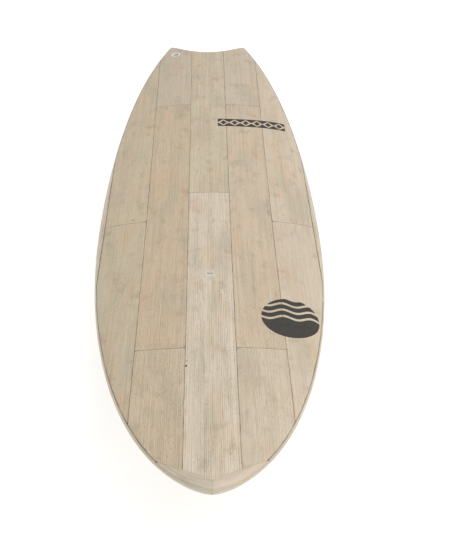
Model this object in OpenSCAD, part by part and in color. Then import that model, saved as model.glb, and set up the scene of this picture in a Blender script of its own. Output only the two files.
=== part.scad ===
// Surfboard with a foam core, balsa plank skins on the deck and the bottom, laminated
// rails, nose and tail blocks, a vent, a leash plug and three removable fins.
//
// Frame: origin on the bottom at the middle of the flat spot, +Z up through the deck,
// +Y towards the tail, +X towards the rider's left. Below, t is the distance from the
// nose tip along the board, so Y is t - flat_spot_from_nose.

/* [Outline] */
// Length from the nose tip to the tail tips
board_length = 1778; // [1400:1:2200]
// Width at the wide point
board_width = 521; // [420:1:640]
// Distance of the wide point from the nose
wide_point = 820; // [650:1:1000]
// How far from the nose the nose curve is pulled outwards
nose_pull = 44; // [30:1:60]
// Half width that the nose curve is pulled to
nose_fullness = 168; // [130:1:205]
// Length over which the nose curve runs into the wide point
nose_run = 392; // [300:1:480]
// Length over which the wide point stays parallel towards the tail
tail_run = 100; // [60:1:200]
// Length over which the tail curve draws in
tail_draw = 320; // [250:1:420]
// Distance between the two tail tips
tail_spread = 234; // [180:1:290]
// Depth of the crescent cut between the tail tips
tail_cut = 58; // [30:1:75]

/* [Foil] */
// Thickness at the thickest point
board_thickness = 64; // [53:1:80]
// Thickness at the nose
nose_thickness = 18; // [15:0.5:24]
// Thickness at the tail tips
tail_thickness = 25; // [22:0.5:32]
// Distance of the thickest point from the nose
thick_point = 853; // [700:1:1000]
// Height of the rail's outermost line, as a share of the thickness
apex_share = 0.42; // [0.38:0.01:0.5]
// Rise of the bottom at the nose
nose_rocker = 95; // [70:1:130]
// Rise of the bottom at the tail
tail_rocker = 42; // [25:1:60]
// Distance of the flat spot's middle from the nose
flat_spot_from_nose = 950; // [800:1:1100]
// Length of the flat spot
flat_spot = 240; // [160:1:320]
// Radius that rounds the nose tip in profile
tip_round = 22; // [16:1:30]

/* [Skins] */
// Thickness of the balsa planks
plank_t = 3.2; // [2.6:0.1:3.9]
// Width of one plank
plank_w = 98.4; // [82:0.1:104]
// Width of the glue seam between two planks
seam = 0.8; // [0.4:0.1:1.2]
// Thickness of the glass cloth under the planks
glass_t = 0.6; // [0.4:0.1:0.8]
// Thickness of each glue line between layers
bond = 0.55; // [0.5:0.05:0.65]
// Width of the glue seam between the planks and the rail caps
cap_seam = 0.9; // [0.8:0.1:1.2]
// Least width of the rail cap outside the planks
cap_min = 5; // [4:0.5:8]

/* [Plank joints] */
// Butt joint of the deck's middle lane, from the nose
deck_mid_butt = 928; // [850:1:1000]
// Forward butt joint of the deck's inner lanes, from the nose
deck_inner_butt_nose = 357; // [300:1:420]
// Aft butt joint of the deck's inner lanes, from the tail tips
deck_inner_butt_tail = 400; // [330:1:480]
// Butt joint of the deck's outer lanes, from the nose
deck_outer_butt = 812; // [740:1:900]
// Butt joint of the bottom's middle lane, from the nose
bottom_mid_butt = 560; // [480:1:650]
// Butt joint of the bottom's inner lanes, from the tail tips
bottom_inner_butt = 598; // [500:1:700]
// Butt joint of the bottom's outer lanes, from the nose
bottom_outer_butt = 720; // [660:1:860]

/* [Rails and blocks] */
// Width of one inner rail strip
strip_w = 7; // [6:0.5:8]
// Length of the nose block on the centreline
nose_block = 20; // [16:1:24]
// How far back the nose block's corners reach
nose_block_corner = 75; // [63:1:90]
// Width of the tail block
tail_block = 12; // [10:0.5:15]

/* [Vent] */
// Distance of the vent from the nose
vent_from_nose = 605; // [540:1:680]
// Diameter of the vent's flange
vent_d = 22; // [20:0.5:26]
// Thickness of the vent's flange
vent_flange_t = 2.4; // [2:0.1:2.8]
// Diameter of the vent's barrel
vent_barrel_d = 18; // [17:0.5:18.5]
// Depth of the vent's barrel
vent_depth = 18; // [16:0.5:22]
// Diameter of the vent screw's head
vent_head_d = 14; // [13:0.1:14.5]
// Diameter of the vent screw's shank
vent_shank_d = 8; // [7:0.1:8.5]

/* [Leash plug] */
// Distance of the leash plug's rim from the tail tips, along the board
leash_from_tail = 55; // [52:1:76]
// Distance of the leash plug's rim from the outline, across the board
leash_from_rail = 31; // [30:1:46]
// Outer diameter of the leash cup
leash_d = 28; // [26:0.5:30]
// Wall of the leash cup
leash_wall = 3; // [2.5:0.1:3.5]
// Depth of the leash cup
leash_depth = 17; // [15:0.5:18]
// Floor thickness of the leash cup
leash_floor = 2.5; // [2:0.1:3]
// Diameter of the leash bar
leash_bar_d = 4; // [3.5:0.1:4.5]
// Depth of the leash bar's middle below the rim
leash_bar_drop = 4.5; // [4:0.1:5]

/* [Fins] */
// Distance of the side fins' middle from the tail tips
side_fin_from_tail = 338; // [320:1:380]
// Distance of the side fins from the outline, at the aft end of their boxes
side_fin_from_rail = 37.5; // [36:0.5:42]
// Toe-in of the side fins, in degrees
side_fin_toe = 2.4; // [1:0.1:3]
// Outward cant of the side fins' foils, in degrees
side_fin_cant = 6; // [3:0.5:9]
// Distance of the centre fin's middle from the tail tips
centre_fin_from_tail = 152; // [146:1:175]
// Length of the fins' base
fin_base = 112; // [100:1:118]
// Depth of the fins below the bottom
fin_depth = 114; // [95:1:125]
// Thickness of the fins at the base
fin_t = 6.8; // [5.8:0.1:7.4]
// Depth of the fins' tab in its box
fin_tab = 13; // [11:0.5:13.5]
// Clearance between the tab and its slot
tab_gap = 0.2; // [0.1:0.05:0.3]
// Wall of the fin box around its slot
box_wall = 5; // [4.5:0.1:6]
// Length of the solid end that holds the grub screw
screw_land = 10; // [9:0.5:13]
// Depth of the fin box
box_depth = 17; // [16:0.5:19]
// Reach of the fin box's flange past its body
box_lip = 2.5; // [2:0.1:3]
// Thickness of the fin box's flange
box_lip_t = 2; // [1.6:0.1:2.4]
// Diameter of the grub screws
grub_d = 5; // [4.5:0.1:5.5]
// Length of the grub screws
grub_len = 7.5; // [7:0.1:8.5]
// Lean of the grub screws from the box's depth, in degrees
grub_lean = 35; // [30:1:40]
// Depth of the grub screws' tip below the box's mouth
grub_tip_depth = 8; // [7:0.1:9]

/* [Hidden] */

// Shape of the curves
NOSE_FOIL_POWER = 3;
TAIL_FOIL_POWER = 2.6;
NOSE_ROCKER_POWER = 2;
TAIL_ROCKER_POWER = 1.9;
DECK_POWER = 2.2; // crown of the deck across the board
BOTTOM_POWER = 5; // tuck of the bottom into the rail
BOTTOM_FLAT = 0.4; // share of the half width that is flat underneath
EDGE_LIMIT = 0.9995; // the crown stops here, which leaves a small flat on the rail
TAIL_WARP = 220; // length over which the tail's crescent bends the cross lines
CELL = 70; // longest facet along the board
MESH_LAP = 0.5; // overlap that lets two solids of one piece fuse
BLUNT = 1; // width of a plank's tip where it runs out against the rail
FIT = 0.2; // clearance of a housing in its pocket
RUN = 0.06; // radial clearance of a turning or sliding piece
TAB_FLOOR_GAP = 1; // room under a fin's tab

// Derived sizes
half_width = board_width / 2;
lane_1 = plank_w / 2; // seam between the middle and inner lanes
lane_2 = lane_1 + plank_w; // seam between the inner and outer lanes
lane_3 = lane_2 + plank_w; // outer edge of the outer lanes
flat_start = flat_spot_from_nose - flat_spot / 2;
flat_end = flat_spot_from_nose + flat_spot / 2;
tail_line = board_length - tail_block;
tail_tip = tail_spread / 2;
under_plank = plank_t + bond; // depth of the glass below the surface
under_glass = under_plank + glass_t + bond; // depth of the core below the surface
core_inset = cap_min + bond + 2 * (strip_w + bond); // the core's edge, from the outline
slot_w = fin_t + 2 * tab_gap;
slot_len = fin_base - fin_t; // between the centres of the slot's round ends
slot_depth = fin_tab + TAB_FLOOR_GAP;
box_w = slot_w + 2 * box_wall;
side_fin_t = board_length - side_fin_from_tail;
centre_fin_t = board_length - centre_fin_from_tail;
leash_t = board_length - leash_from_tail - leash_d / 2;
deck_aft_butt = board_length - deck_inner_butt_tail;
bottom_aft_butt = board_length - bottom_inner_butt;

// ---- Outline ----
function bezier(p, u) =
    pow(1 - u, 3) * p[0] + 3 * pow(1 - u, 2) * u * p[1] + 3 * (1 - u) * u * u * p[2] + pow(u, 3) * p[3];
NOSE_CURVE = [
    for (i = [0:80]) bezier([
        [0, 0], [nose_pull, nose_fullness], [wide_point - nose_run, half_width], [wide_point, half_width],
    ], i / 80)
];
TAIL_CURVE = [
    for (i = [0:80]) bezier([
        [wide_point, half_width], [wide_point + tail_run, half_width],
        [board_length - tail_draw, half_width], [board_length, tail_tip],
    ], i / 80)
];
WIDTH_BY_T = concat(NOSE_CURVE, [for (i = [1:80]) TAIL_CURVE[i]]);
NOSE_T_BY_WIDTH = [for (p = NOSE_CURVE) [p[1], p[0]]];
TAIL_T_BY_WIDTH = [for (i = [80:-1:0]) [TAIL_CURVE[i][1], TAIL_CURVE[i][0]]];
function half_w(t) = lookup(t, WIDTH_BY_T);
function nose_t(w) = lookup(w, NOSE_T_BY_WIDTH);
function tail_t(w) = lookup(w, TAIL_T_BY_WIDTH);
// Outer edge of the plank skins
function skin_w(t) = min(lane_3, half_w(t) - cap_min);
// The crescent: how far the cross line t is bent forward at x
function tail_bend(x, t) =
    tail_cut * max(0, 1 - pow(x / tail_tip, 2)) * max(0, (t - board_length + TAIL_WARP) / TAIL_WARP);
function along(x, t) = t - tail_bend(x, t);

// ---- Surfaces ----
function thickness(t) = t < thick_point
    ? board_thickness - (board_thickness - nose_thickness) * pow(1 - t / thick_point, NOSE_FOIL_POWER)
    : board_thickness - (board_thickness - tail_thickness)
        * pow((t - thick_point) / (board_length - thick_point), TAIL_FOIL_POWER);
function rocker(t) =
    t < flat_start ? nose_rocker * pow(1 - t / flat_start, NOSE_ROCKER_POWER)
    : t > flat_end ? tail_rocker * pow((t - flat_end) / (board_length - flat_end), TAIL_ROCKER_POWER)
    : 0;
function tip_fade(t) = t < tip_round ? sqrt(1 - pow(1 - t / tip_round, 2)) : 1;
function apex(t) = rocker(t) + apex_share * thickness(t);
function across(x, t) = min(EDGE_LIMIT, abs(x) / max(0.01, half_w(t)));
function deck_z(x, t) =
    apex(t) + (1 - apex_share) * thickness(t) * tip_fade(t) * sqrt(1 - pow(across(x, t), DECK_POWER));
function tuck(x, t) = max(0, (across(x, t) - BOTTOM_FLAT) / (1 - BOTTOM_FLAT));
function bottom_z(x, t) =
    apex(t) - apex_share * thickness(t) * tip_fade(t) * sqrt(1 - pow(tuck(x, t), BOTTOM_POWER));

// A layer is [0, depth below the deck] or [1, height above the bottom]
function layer_z(layer, x, t) = layer[0] == 0 ? deck_z(x, t) - layer[1] : bottom_z(x, t) + layer[1];
DECK = [0, 0];
BOTTOM = [1, 0];

// ---- Nose block line ----
CORNER_X = half_w(nose_block_corner);
BLOCK_SLOPE = (nose_block_corner - nose_block) / CORNER_X;
function block_line(x) = nose_block + BLOCK_SLOPE * abs(x);

// ---- Lines along the board ----
// A layer's lines run from x_in, where f is 0, to its outer edge, where f is 1. The edge is
// x_out, or the line that runs inset inside the outline where that is narrower.
function line_x(x_in, x_out, inset, f, t) =
    x_in + f * (max(x_in + BLUNT, min(x_out, half_w(t) - inset)) - x_in);
// The t where a line crosses the nose block's line, found by halving
function crossing(x_in, x_out, inset, f, low = 1, high = 300, n = 24) =
    n == 0 ? (low + high) / 2
    : let (mid = (low + high) / 2)
        block_line(line_x(x_in, x_out, inset, f, mid)) > mid
            ? crossing(x_in, x_out, inset, f, mid, high, n - 1)
            : crossing(x_in, x_out, inset, f, low, mid, n - 1);
function line_start(x_in, x_out, inset, f) =
    max(crossing(x_in, x_out, inset, f) + seam / 2, nose_t(x_in + inset + BLUNT));
function line_end(x_in, inset) = min(tail_line - seam / 2, tail_t(x_in + inset + BLUNT));

// ---- Curved slabs ----
// A slab lies between two layers. Its plan is a grid of [x, t] points, rows of columns.
// Two faces of rows by cols points, closed around their rim
module closed_grid(rows, cols, top_points, under_points) {
    under = rows * cols;
    rim = concat(
        [for (j = [0:cols - 1]) j],
        [for (i = [1:rows - 1]) i * cols + cols - 1],
        [for (j = [cols - 2:-1:0]) (rows - 1) * cols + j],
        [for (i = [rows - 2:-1:1]) i * cols]
    );
    polyhedron(
        concat(top_points, under_points),
        concat(
            [for (i = [0:rows - 2]) for (j = [0:cols - 2])
                let (a = i * cols + j) each [[a, a + cols, a + 1], [a + 1, a + cols, a + cols + 1]]],
            [for (i = [0:rows - 2]) for (j = [0:cols - 2])
                let (a = under + i * cols + j)
                each [[a, a + 1, a + cols], [a + 1, a + cols + 1, a + cols]]],
            [for (k = [0:len(rim) - 1])
                let (a = rim[k], b = rim[(k + 1) % len(rim)])
                each [[a, b, under + a], [b, under + b, under + a]]]
        )
    );
}
function slab_points(plan, layer) =
    [for (row = plan) for (p = row)
        let (t = along(p[0], p[1])) [p[0], t - flat_spot_from_nose, layer_z(layer, p[0], t)]];
module slab(plan, top, bottom) {
    closed_grid(len(plan), len(plan[0]), slab_points(plan, top), slab_points(plan, bottom));
}

// Spacings from 0 to 1: even, dense at the start, dense at the end, dense at both ends
function dense_start(i, n) = pow(i / n, 1.6);
function dense_end(i, n) = 1 - dense_start(n - i, n);
function dense_side(i, n) = sin(90 * i / n);
function spaced(kind, i, n) =
    kind == "start" ? dense_start(i, n)
    : kind == "end" ? dense_end(i, n)
    : kind == "both" ? (i < n / 2 ? dense_start(i, n / 2) / 2 : (1 + dense_end(i - n / 2, n / 2)) / 2)
    : i / n;
function rows_for(length) = max(3, ceil(length / CELL));
function even_rows(length) = 2 * ceil(rows_for(length) / 2);

// Plan of a layer between two t limits; a limit of undef is the layer's own end.
// The lines are numbered from first_col to cols.
function layer_plan(x_in, x_out, inset, t_from, t_to, first_col, cols, rows) = [
    for (i = [0:rows]) [
        for (j = [first_col:cols])
            let (
                f = sign(j) * dense_side(abs(j), cols),
                a = is_undef(t_from) ? line_start(x_in, x_out, inset, abs(f)) : t_from + seam / 2,
                b = is_undef(t_to) ? line_end(x_in, inset) : t_to - seam / 2,
                kind = is_undef(t_from) ? (is_undef(t_to) ? "both" : "start")
                    : is_undef(t_to) ? "end" : "even",
                t = a + (b - a) * spaced(kind, i, rows)
            )
            [line_x(x_in, x_out, inset, f, t), t]
    ]
];
// The grid runs towards +X, so a piece on the other side is drawn from its outer edge
function plan_on_side(side, plan) = side > 0 ? plan
    : [for (row = plan) [for (j = [len(row) - 1:-1:0]) [-row[j][0], row[j][1]]]];

// ---- Skins, glass and core ----
DECK_SKIN = [DECK, [0, plank_t]];
BOTTOM_SKIN = [[1, plank_t], BOTTOM];
MID_COLS = 4; // each side of the centreline
LANE_COLS = 7;
FULL_COLS = 12; // each side of the centreline
END_ROWS = 3; // extra rows where a layer runs out at the nose or the tail
skin_half_span = min(lane_3, half_width - cap_min) - MESH_LAP;
core_half_span = min(lane_3 + cap_min, half_width) - core_inset;
function piece_rows(x_in, t_from, t_to) = let (
        from = is_undef(t_from) ? nose_t(x_in + cap_min) : t_from,
        to = is_undef(t_to) ? min(board_length, tail_t(x_in + cap_min)) : t_to
    ) rows_for(to - from) + (is_undef(t_from) ? END_ROWS : 0) + (is_undef(t_to) ? END_ROWS : 0);
module mid_plank(t_from, t_to, layers) {
    plan = layer_plan(0, lane_1 - seam / 2, cap_min, t_from, t_to, -MID_COLS, MID_COLS,
        piece_rows(0, t_from, t_to));
    slab(plan, layers[0], layers[1]);
}
module side_plank(side, x_in, x_out, t_from, t_to, layers) {
    plan = layer_plan(x_in, x_out, cap_min, t_from, t_to, 0, LANE_COLS, piece_rows(x_in, t_from, t_to));
    slab(plan_on_side(side, plan), layers[0], layers[1]);
}
module inner_plank(side, t_from, t_to, layers) {
    side_plank(side, lane_1 + seam / 2, lane_2 - seam / 2, t_from, t_to, layers);
}
module outer_plank(side, t_from, t_to, layers) {
    side_plank(side, lane_2 + seam / 2, skin_half_span, t_from, t_to, layers);
}
layer_rows = even_rows(board_length) + END_ROWS + 1;
module full_layer(half_span, inset, top, bottom) {
    slab(layer_plan(0, half_span, inset, undef, undef, -FULL_COLS, FULL_COLS, layer_rows), top, bottom);
}
module core_blank() {
    full_layer(core_half_span, core_inset, [0, under_glass], [1, under_glass]);
}
module glass(top, bottom) {
    full_layer(skin_half_span, cap_min, top, bottom);
}

// ---- Rails ----
// A rail piece runs between two lines, each given as its inset from the skin's edge.
// An inset of undef is the outline.
STRIP_COLS = 2;
CAP_COLS = 4;
CAP_EXTRA_ROWS = 4; // the caps show, so they have more rows than the layers
function rail_line(inset, t) = is_undef(inset) ? half_w(t) : skin_w(t) - inset;
function rail_start(inset) =
    crossing(0, half_width, is_undef(inset) ? 0 : cap_min + inset, 1) + seam;
function rail_plan(out_inset, in_inset, cols, rows) = [
    for (i = [0:rows]) [
        for (j = [0:cols])
            let (
                f = dense_side(j, cols),
                a = rail_start(in_inset) + (rail_start(out_inset) - rail_start(in_inset)) * f,
                t = a + (tail_line - seam / 2 - a) * spaced("both", i, rows),
                x = rail_line(in_inset, t) + (rail_line(out_inset, t) - rail_line(in_inset, t)) * f
            )
            [x, t]
    ]
];
module rail_strip(side, number) {
    in_inset = bond + number * (strip_w + bond) + strip_w;
    // The strips have the core's own rows, so that the two follow the outline alike
    plan = plan_on_side(side, rail_plan(in_inset - strip_w, in_inset, STRIP_COLS, layer_rows));
    color("wheat") slab(plan, [0, under_glass], [1, under_glass]);
}
module rail_cap(side) {
    plan = plan_on_side(side, rail_plan(undef, -cap_seam, CAP_COLS, layer_rows + CAP_EXTRA_ROWS));
    color("wheat") slab(plan, DECK, BOTTOM);
}

// ---- Placing fittings square to the skins ----
SLOPE_STEP = 2;
function slope_x(layer, x, t) =
    (layer_z(layer, x + SLOPE_STEP, t) - layer_z(layer, x - SLOPE_STEP, t)) / (2 * SLOPE_STEP);
function slope_t(layer, x, t) =
    (layer_z(layer, x, t + SLOPE_STEP) - layer_z(layer, x, t - SLOPE_STEP)) / (2 * SLOPE_STEP);
function lean(layer, x, t) = [atan(slope_t(layer, x, t)), -atan(slope_x(layer, x, t)), 0];
module on_deck(x, t) {
    translate([x, t - flat_spot_from_nose, deck_z(x, t)]) rotate(lean(DECK, x, t)) children();
}
module on_bottom(x, t, toe) {
    translate([x, t - flat_spot_from_nose, bottom_z(x, t)])
        rotate(lean(BOTTOM, x, t)) rotate([0, 0, toe]) children();
}
// A bar along Y with round ends centred on front and back, from z = low to z = high
module stadium(front, back, width, low, high) {
    translate([-width / 2, front, low]) cube([width, back - front, high - low]);
    for (end = [front, back])
        translate([0, end, low]) cylinder(d = width, h = high - low, $fn = 48);
}
// A dense block goes through the core from skin to skin; gap widens its column into a pocket
TALL = 3 * board_thickness;
module column(x, t, w, l, gap) {
    translate([x - w / 2 - gap, t - l / 2 - gap - flat_spot_from_nose, -board_thickness])
        cube([w + 2 * gap, l + 2 * gap, TALL]);
}
module insert_block(x, t, w, l) {
    intersection() {
        core_blank();
        column(x, t, w, l, 0);
    }
}

// ---- Vent ----
VENT_MARGIN = 11;
vent_insert_w = vent_d + 2 * VENT_MARGIN;
VENT_HEAD_T = 2.6;
VENT_SLOT = [1.6, 1.4]; // width and depth of the coin slot
VENT_SHANK_LEN = 9;
VENT_FLOOR = 2; // wall under the membrane
VENT_HOLE_D = 3;
RING_T = 1.6; // section of the O-ring
MEMBRANE_T = 0.6;
vent_head_top = -0.4; // the head sits just under the flange
vent_head_seat = vent_head_top - VENT_HEAD_T - RING_T;
module vent_pocket() {
    translate([0, 0, -vent_depth - FIT]) cylinder(d = vent_barrel_d + 2 * FIT, h = 2 * vent_depth, $fn = 64);
    translate([0, 0, -vent_flange_t - FIT]) cylinder(d = vent_d + 2 * FIT, h = vent_depth, $fn = 64);
}
module at_vent() {
    on_deck(0, vent_from_nose) children();
}
module vent_insert() {
    color("khaki") difference() {
        insert_block(0, vent_from_nose, vent_insert_w, vent_insert_w);
        at_vent() vent_pocket();
    }
}
module vent_body() {
    color("white") at_vent() difference() {
        union() {
            translate([0, 0, -vent_depth]) cylinder(d = vent_barrel_d, h = vent_depth, $fn = 64);
            translate([0, 0, -vent_flange_t]) cylinder(d = vent_d, h = vent_flange_t, $fn = 64);
        }
        translate([0, 0, vent_head_seat]) cylinder(d = vent_head_d + 2 * FIT, h = vent_depth, $fn = 64);
        translate([0, 0, -vent_depth + VENT_FLOOR])
            cylinder(d = vent_shank_d + 2 * RUN, h = vent_depth, $fn = 64);
        translate([0, 0, -vent_depth - 1]) cylinder(d = VENT_HOLE_D, h = vent_depth, $fn = 32);
    }
}
module vent_screw() {
    color("silver") at_vent() difference() {
        union() {
            translate([0, 0, vent_head_top - VENT_HEAD_T])
                cylinder(d = vent_head_d, h = VENT_HEAD_T, $fn = 64);
            translate([0, 0, vent_head_seat + RING_T - VENT_SHANK_LEN])
                cylinder(d = vent_shank_d, h = VENT_SHANK_LEN + MESH_LAP, $fn = 64);
        }
        translate([-vent_head_d, -VENT_SLOT[0] / 2, vent_head_top - VENT_SLOT[1]])
            cube([2 * vent_head_d, VENT_SLOT[0], vent_head_d]);
    }
}
module vent_o_ring() {
    color("black") at_vent() translate([0, 0, vent_head_seat + RING_T / 2])
        rotate_extrude($fn = 64) translate([vent_shank_d / 2 + RUN + RING_T / 2, 0])
            circle(d = RING_T - 2 * RUN, $fn = 24);
}
module vent_membrane() {
    color("whitesmoke") at_vent() translate([0, 0, -vent_depth + VENT_FLOOR + RUN])
        cylinder(d = vent_shank_d - 2 * RUN, h = MEMBRANE_T, $fn = 48);
}

// ---- Leash plug ----
LEASH_MARGIN = 3;
leash_insert_w = leash_d + 2 * LEASH_MARGIN;
leash_x = leash_from_rail + leash_d / 2 - half_w(leash_t); // on the rider's right
module at_leash() {
    on_deck(leash_x, leash_t) children();
}
module leash_pocket() {
    translate([0, 0, -leash_depth - FIT]) cylinder(d = leash_d + 2 * FIT, h = 2 * leash_depth, $fn = 64);
}
module leash_insert() {
    color("khaki") difference() {
        insert_block(leash_x, leash_t, leash_insert_w, leash_insert_w);
        at_leash() leash_pocket();
    }
}
module leash_cup() {
    color("white") at_leash() difference() {
        translate([0, 0, -leash_depth]) cylinder(d = leash_d, h = leash_depth, $fn = 64);
        translate([0, 0, -leash_depth + leash_floor])
            cylinder(d = leash_d - 2 * leash_wall, h = leash_depth, $fn = 64);
        translate([-leash_d, 0, -leash_bar_drop]) rotate([0, 90, 0])
            cylinder(d = leash_bar_d + 2 * RUN, h = 2 * leash_d, $fn = 32);
    }
}
module leash_bar() {
    color("silver") at_leash() translate([-leash_d / 2 + 1, 0, -leash_bar_drop]) rotate([0, 90, 0])
        cylinder(d = leash_bar_d, h = leash_d - 2, $fn = 32);
}

// ---- Fin boxes, fins and grub screws ----
// Each box is drawn with its mouth at z = 0, its depth towards +Z and its front towards -Y
INSERT_MARGIN = 6;
slot_front = -slot_len / 2;
slot_back = slot_len / 2;
box_front = slot_front - screw_land;
box_back_end = slot_back + box_w / 2;
insert_w = box_w + 2 * INSERT_MARGIN;
insert_l = slot_len + screw_land + box_w + 2 * INSERT_MARGIN;
function fin_mid(side) = side == 0 ? centre_fin_t : side_fin_t;
function fin_x(side) = side * (half_w(side_fin_t + box_back_end) - side_fin_from_rail);
function insert_mid(side) = fin_mid(side) - screw_land / 2;
module at_fin(side) {
    on_bottom(fin_x(side), fin_mid(side), -side * side_fin_toe) mirror([side < 0 ? 1 : 0, 0, 0]) children();
}
module box_outer(gap) {
    stadium(box_front, slot_back, box_w + 2 * gap, -gap, box_depth + gap);
    stadium(box_front, slot_back, box_w + 2 * (box_lip + gap), -4 * box_lip_t, box_lip_t + gap);
}
// The grub screw leans towards the front end of the fin's tab
GRUB_CLEAR = 0.3;
grub_y = -fin_base / 2 - GRUB_CLEAR - grub_d / 2 * cos(grub_lean);
module at_grub() {
    translate([0, grub_y, grub_tip_depth]) rotate([-grub_lean, 0, 0]) children();
}
module fin_box(side) {
    color("gainsboro") at_fin(side) difference() {
        union() {
            stadium(box_front, slot_back, box_w, 0, box_depth);
            stadium(box_front, slot_back, box_w + 2 * box_lip, 0, box_lip_t);
        }
        stadium(slot_front, slot_back, slot_w, -1, slot_depth);
        at_grub() translate([0, 0, -2 * grub_len])
            cylinder(d = grub_d + 2 * RUN, h = 2 * grub_len + GRUB_CLEAR, $fn = 32);
    }
}
HEX_KEY = 2.5; // across flats
HEX_DEPTH = 2.5;
module grub_screw(side) {
    color("silver") at_fin(side) at_grub() difference() {
        translate([0, 0, -grub_len]) cylinder(d = grub_d, h = grub_len, $fn = 32);
        translate([0, 0, -grub_len - 1]) cylinder(d = HEX_KEY / cos(30), h = HEX_DEPTH + 1, $fn = 6);
    }
}
module fin_insert(side) {
    color("khaki") difference() {
        insert_block(fin_x(side), insert_mid(side), insert_w, insert_l);
        at_fin(side) box_outer(FIT);
    }
}

// A fin's foil hangs from its tab; its outline is a leading and a trailing curve of [along, down]
FOIL_ROWS = 10;
FOIL_CHORD = [0, 0.04, 0.14, 0.32, 0.55, 0.8, 1];
FOIL_EDGE = 0.5; // thickness left on the edges
FOIL_TAPER = 0.72; // how much thinner the tip is than the base
FOIL_DROP = 0.3; // the foil starts this far below the box
leading_curve = [
    [0, 0], [0.2 * fin_base, 0.42 * fin_depth],
    [0.62 * fin_base, 0.96 * fin_depth], [1.1 * fin_base, fin_depth],
];
trailing_curve = [
    [fin_base, 0], [0.83 * fin_base, 0.3 * fin_depth],
    [0.96 * fin_base, 0.75 * fin_depth], [1.14 * fin_base, 0.985 * fin_depth],
];
// Half thickness along the chord, for a thickness of 1
function foil_half(c) = 1.48 * sqrt(c) - 0.63 * c - 1.76 * c * c + 1.42 * pow(c, 3) - 0.51 * pow(c, 4);
// face is 1 or -1, and full is that face's share of the thickness, where 1 is an even foil
function foil_points(face, full, cant) = [
    for (i = [0:FOIL_ROWS]) for (c = FOIL_CHORD)
        let (
            lead = bezier(leading_curve, i / FOIL_ROWS),
            p = lead + (bezier(trailing_curve, i / FOIL_ROWS) - lead) * c,
            depth = (fin_t - FOIL_EDGE) * (1 - FOIL_TAPER * p[1] / fin_depth)
        )
        [
            face * (foil_half(c) * depth * full + FOIL_EDGE / 2) + p[1] * tan(cant),
            p[0] - fin_base / 2,
            -p[1] - FOIL_DROP,
        ]
];
module foil(outer_full, cant) {
    outside = foil_points(1, outer_full, cant);
    inside = foil_points(-1, 2 - outer_full, cant);
    closed_grid(FOIL_ROWS + 1, len(FOIL_CHORD), inside, outside);
}
SIDE_FOIL = 1.6; // the side fins are fuller outside than inside
module fin(side) {
    color("dimgray") at_fin(side) {
        stadium(slot_front, slot_back, fin_t, -FOIL_DROP - MESH_LAP, fin_tab);
        foil(side == 0 ? 1 : SIDE_FOIL, side == 0 ? 0 : side_fin_cant);
    }
}

// ---- Core, glass and skins ----
module every_insert_pocket() {
    column(0, vent_from_nose, vent_insert_w, vent_insert_w, FIT);
    column(leash_x, leash_t, leash_insert_w, leash_insert_w, FIT);
    for (side = [-1, 0, 1]) column(fin_x(side), insert_mid(side), insert_w, insert_l, FIT);
}
module foam_core() {
    color("white") difference() {
        core_blank();
        every_insert_pocket();
    }
}
module deck_glass() {
    color("lightcyan") difference() {
        glass([0, under_plank], [0, under_plank + glass_t]);
        at_vent() vent_pocket();
        at_leash() leash_pocket();
    }
}
module every_box_pocket() {
    for (side = [-1, 0, 1]) at_fin(side) box_outer(FIT);
}
module bottom_glass() {
    color("lightcyan") difference() {
        glass([1, under_plank + glass_t], [1, under_plank]);
        every_box_pocket();
    }
}
module deck_mid_nose() {
    color("tan") difference() {
        mid_plank(undef, deck_mid_butt, DECK_SKIN);
        at_vent() vent_pocket();
    }
}
module deck_mid_tail() {
    color("tan") mid_plank(deck_mid_butt, undef, DECK_SKIN);
}
module deck_inner_nose(side) {
    color("burlywood") inner_plank(side, undef, deck_inner_butt_nose, DECK_SKIN);
}
module deck_inner_mid(side) {
    color("tan") inner_plank(side, deck_inner_butt_nose, deck_aft_butt, DECK_SKIN);
}
module deck_inner_tail(side) {
    color("burlywood") difference() {
        inner_plank(side, deck_aft_butt, undef, DECK_SKIN);
        at_leash() leash_pocket();
    }
}
module deck_outer_nose(side) {
    color("burlywood") outer_plank(side, undef, deck_outer_butt, DECK_SKIN);
}
module deck_outer_tail(side) {
    color("tan") difference() {
        outer_plank(side, deck_outer_butt, undef, DECK_SKIN);
        at_leash() leash_pocket();
    }
}
module bottom_mid_nose() {
    color("tan") mid_plank(undef, bottom_mid_butt, BOTTOM_SKIN);
}
module bottom_mid_tail() {
    color("burlywood") difference() {
        mid_plank(bottom_mid_butt, undef, BOTTOM_SKIN);
        every_box_pocket();
    }
}
module bottom_inner_nose(side) {
    color("burlywood") difference() {
        inner_plank(side, undef, bottom_aft_butt, BOTTOM_SKIN);
        every_box_pocket();
    }
}
module bottom_inner_tail(side) {
    color("tan") difference() {
        inner_plank(side, bottom_aft_butt, undef, BOTTOM_SKIN);
        every_box_pocket();
    }
}
module bottom_outer_nose(side) {
    color("tan") outer_plank(side, undef, bottom_outer_butt, BOTTOM_SKIN);
}
module bottom_outer_tail(side) {
    color("burlywood") difference() {
        outer_plank(side, bottom_outer_butt, undef, BOTTOM_SKIN);
        every_box_pocket();
    }
}

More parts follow.
